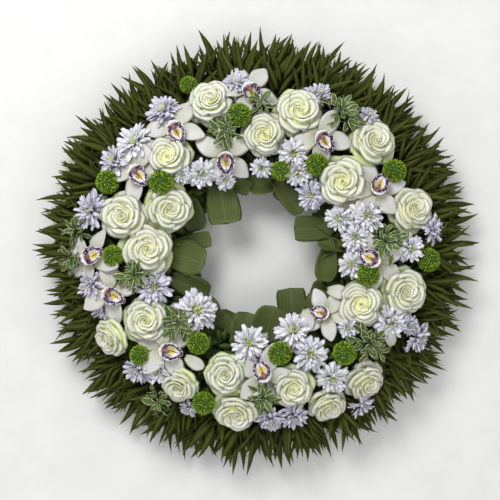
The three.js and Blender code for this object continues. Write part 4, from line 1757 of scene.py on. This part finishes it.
@dataclass
class InnerCollar:
    """Broad blunt leaves that line the hole, over an even ring of more leaves under them.

    Levels, lengths and widths are in millimetres.
    """

    high_leaves: int = 18
    high_level: float = 72.0
    level_step: float = 4.0
    low_level: float = 58.0
    under_leaves: int = 26
    under_root: float = 172.0
    under_level: float = 26.0
    under_step: float = 6.0
    under_lengths: Span = (48, 60)
    under_widths: Span = (46, 58)
    leaf_length: float = 88.0
    leaf_width: float = 60.0

    def build(self) -> bpy.types.Object:
        """Makes the collar in place of its CAD node.

        Returns:
            The piece.
        """
        rng = random.Random(8)
        setting = Setting()
        for index, leaf in enumerate(COLLAR_LEAVES):
            high = self.high_level - self.level_step * (index % 3)
            level = high if index < self.high_leaves else self.low_level
            root = polar(leaf.reach, math.radians(leaf.bearing), level)
            root -= polar(leaf.length, math.radians(leaf.heading))
            self.add_leaf(setting, rng, root, leaf.heading, leaf.length, leaf.width, leaf.shape)
        for index in range(self.under_leaves):
            bearing = 360 * (index + stray(rng, 0.2)) / self.under_leaves
            level = self.under_level + self.under_step * (index % 3)
            self.add_leaf(setting, rng, polar(self.under_root, math.radians(bearing), level),
                          bearing + 180 + stray(rng, 22), rng.uniform(*self.under_lengths),
                          rng.uniform(*self.under_widths), LeafShape(index % 3))
        oval = Blade(90 * MM, 60 * MM, base_width=0.4, widest=0.66, tip=0.26, rise=8, bend=-22, cup=0.16,
                     keel=0.1, ruffle=0.03, thickness=0.8 * MM, rows=14, columns=11)
        cupped = replace(oval, widest=0.7, tip=0.3, rise=4, bend=-8, cup=0.4, keel=-0.1, twist=14,
                         ruffle=0.04, waves=1.4)
        rolled = replace(oval, widest=0.55, tip=0.48, bend=-32, cup=-0.14, keel=0.3, twist=-12, sway=0.08)
        square = replace(oval, base_width=0.5, widest=0.78, tip=0.1, rise=6, bend=-18, cup=0.1, keel=0.08,
                         ruffle=0.025, waves=1.2)
        leaves = setting.grow("inner_leaves", [oval, cupped, rolled, square], BROAD_LEAF, 21, 0.02, 0.02)
        return make_piece("inner_leaves", [leaves], "broad_leaf", ["inner_leaf_collar"])

    def add_leaf(self, setting: Setting, rng: random.Random, root: Vector, heading: float, length: float,
                 width: float, shape: LeafShape) -> None:
        """Adds one leaf.

        Args:
            setting: Where it goes.
            rng: Source of its irregularities.
            root: Where it grows, in millimetres.
            heading: Where it points to, in degrees.
            length: Its length in millimetres.
            width: Its width in millimetres.
            shape: Its shape.
        """
        turn = (stray(rng, 0.16), -math.radians(rng.uniform(-4, 8)), math.radians(heading))
        setting.put(root * MM, turn, (length / self.leaf_length, width / self.leaf_width, 1.0), shape.value)


@dataclass
class Filler:
    """Short sprigs that cover the foam between the flowers, and fallen orchid petals among them.

    The sprigs stand on arcs over the ring, in shares of half a turn from the outside inward. A loose
    petal gives its bearing in degrees, its reach in millimetres and its turn in degrees.
    """

    leaves: int = 760
    inner_width: float = 62 * MM
    outer_width: float = 78 * MM
    height: float = 52 * MM
    turn_step: float = 37.674
    arcs: Span = (0.1, 0.84)
    sizes: Span = (0.8, 1.25)
    loose: tuple[tuple[float, float, float], ...] = (
        (331, 142, 20), (311, 134, -30), (325, 290, 150), (236, 221, 94))

    def build_cover(self) -> bpy.types.Object:
        """Makes the cover of leaves.

        Returns:
            The piece.
        """
        rng = random.Random(31)
        setting = Setting()
        for index in range(self.leaves):
            bearing = math.radians(index * 360 * self.turn_step / self.leaves + stray(rng, 4))
            arc = rng.uniform(*self.arcs) * math.pi
            width = self.inner_width if arc > math.pi / 2 else self.outer_width
            way = polar(math.cos(arc), bearing, math.sin(arc))
            lean = Vector((stray(rng, 1), stray(rng, 1), rng.uniform(-0.3, 0.5)))
            turn = (way * 0.6 + lean).to_track_quat("X", "Z").to_euler()
            place = polar(RING.radius + width * math.cos(arc), bearing,
                          RING.spring + self.height * math.sin(arc))
            setting.put(place, turn, rng.uniform(*self.sizes), rng.randrange(2))
        narrow = Blade(34 * MM, 15 * MM, tip=0.9, rise=4, bend=-26, keel=0.2, rows=5, columns=3)
        broad = Blade(29 * MM, 17 * MM, widest=0.55, tip=0.7, bend=-34, keel=0.25, twist=20, rows=5,
                      columns=3)
        cover = setting.grow("filler_leaves", [narrow, broad], FILLER_LEAF, 41, 0.15, 0.2)
        return make_piece("filler_leaves", [cover], "olive_leaf")

    def build_loose(self) -> bpy.types.Object:
        """Makes the loose petals.

        Returns:
            The piece.
        """
        setting = Setting()
        for bearing, reach, spin in self.loose:
            seat = RING.seat(bearing, reach * MM, 0.0, 2 * MM, spin)
            setting.put(seat.translation, seat.to_euler())
        petal = Blade(42 * MM, 25 * MM, base_width=0.35, widest=0.58, tip=0.6, rise=14, bend=-30, cup=0.3,
                      ruffle=0.03, thickness=1 * MM, rows=12, columns=9)
        return make_piece("loose_petals", [setting.grow("loose", [petal], TEPAL, 51)], "orchid_petal")


# The base -------------------------------------------------------------------------------------------


@dataclass
class Base:
    """Moulded ring tray and the soaked foam in it."""

    wall: float = 3 * MM
    rounding: float = 1.5 * MM
    rim_drop: float = 1 * MM
    rim_rounding: float = 0.8 * MM
    foam_gap: float = 0.3 * MM
    foam_half_width: float = 41 * MM
    foam_dome: float = 38 * MM
    dome_steps: int = 16

    def build_tray(self) -> bpy.types.Object:
        """Makes the tray: a channel with rounded feet and a rounded rim on both walls.

        Returns:
            The piece.
        """
        outer, inner, top = TRAY_HALF_WIDTH, TRAY_HALF_WIDTH - self.wall, RING.tray_height
        half = [(outer - self.rounding, 0), (outer, self.rounding), (outer, top - self.rim_drop),
                (outer - self.rim_rounding, top), (inner + self.rim_rounding, top),
                (inner, top - self.rim_drop), (inner, self.wall + self.rounding),
                (inner - self.rounding, self.wall)]
        profile = [(RING.radius + aside, level) for aside, level in half]
        profile += [(RING.radius - aside, level) for aside, level in reversed(half)]
        mesh = ring_mesh("tray_shell", profile, TRAY, smooth=False)
        return make_piece("ring_tray", [mesh], "tray_plastic", ["tray"])

    def build_foam(self) -> bpy.types.Object:
        """Makes the foam: straight sides in the tray and a dome above it.

        Returns:
            The piece.
        """
        floor = self.wall + self.foam_gap
        profile = [(RING.radius - self.foam_half_width, floor), (RING.radius + self.foam_half_width, floor)]
        for step in range(self.dome_steps + 1):
            angle = math.pi * step / self.dome_steps
            profile.append((RING.radius + self.foam_half_width * math.cos(angle),
                            RING.spring + self.foam_dome * math.sin(angle)))
        return make_piece("foam", [ring_mesh("foam_body", profile, FOAM)], "wet_foam", ["foam_ring"])


# Studio ---------------------------------------------------------------------------------------------


@dataclass(frozen=True)
class SoftLight:
    """A square area light aimed at the wreath, in metres and watts."""

    name: str
    place: tuple[float, float, float]
    size: float
    power: float

    def build(self) -> None:
        """Adds the light to the scene."""
        light = bpy.data.lights.new(self.name, "AREA")
        light.energy = self.power
        light.size = self.size
        lamp = bpy.data.objects.new(self.name, light)
        lamp.location = self.place
        lamp.rotation_euler = (-Vector(self.place)).to_track_quat("-Z", "Y").to_euler()
        bpy.context.scene.collection.objects.link(lamp)


@dataclass
class Studio:
    """Pale floor, soft lights and a camera that looks straight down on the wreath."""

    view_width: float = 875 * MM
    height: float = 2.7
    focus: float = 0.1
    offset: tuple[float, float] = (-10.5 * MM, 1.75 * MM)
    sensor: float = 36.0
    floor_half: float = 12.0
    sky: float = 0.44
    lights: tuple[SoftLight, ...] = (
        SoftLight("key", (-0.8, 1.5, 2.1), 1.1, 54),
        SoftLight("fill", (1.8, -0.6, 2.0), 2.0, 16),
        SoftLight("front", (-0.8, -1.9, 1.6), 2.0, 14),
    )

    def build(self) -> None:
        """Makes the floor, the lights and the camera."""
        size = self.floor_half
        corners = [(-size, -size, 0), (size, -size, 0), (size, size, 0), (-size, size, 0)]
        mesh = mesh_from("floor", corners, [(0, 1, 2, 3)], FLOOR, smooth=False)
        floor = bpy.data.objects.new("floor", mesh)
        bpy.context.scene.collection.objects.link(floor)
        for light in self.lights:
            light.build()
        bpy.context.scene.view_settings.view_transform = "Standard"
        world = bpy.data.worlds.new("studio")
        bpy.context.scene.world = world
        world.use_nodes = True
        back = world.node_tree.nodes["Background"]
        back.inputs["Color"].default_value = (1.0, 1.0, 1.0, 1.0)
        back.inputs["Strength"].default_value = self.sky
        camera = bpy.data.objects.new("camera", bpy.data.cameras.new("camera"))
        camera.location = (*self.offset, self.height)
        camera.data.sensor_width = self.sensor
        camera.data.lens = self.sensor * (self.height - self.focus) / self.view_width
        bpy.context.scene.collection.objects.link(camera)
        bpy.context.scene.camera = camera


def main() -> None:
    """Builds every piece in order and reports each."""
    logging.basicConfig(level=logging.INFO, format="%(message)s")
    base = Base()
    base.build_tray()
    base.build_foam()
    OuterCollar().build()
    InnerCollar().build()
    filler = Filler()
    filler.build_cover()
    filler.build_loose()
    for piece in (*ROSES, *ORCHIDS, *SANTINI, *SPRAYS, *TUFTS):
        piece.build()
    Studio().build()


if __name__ == "__main__":
    main()
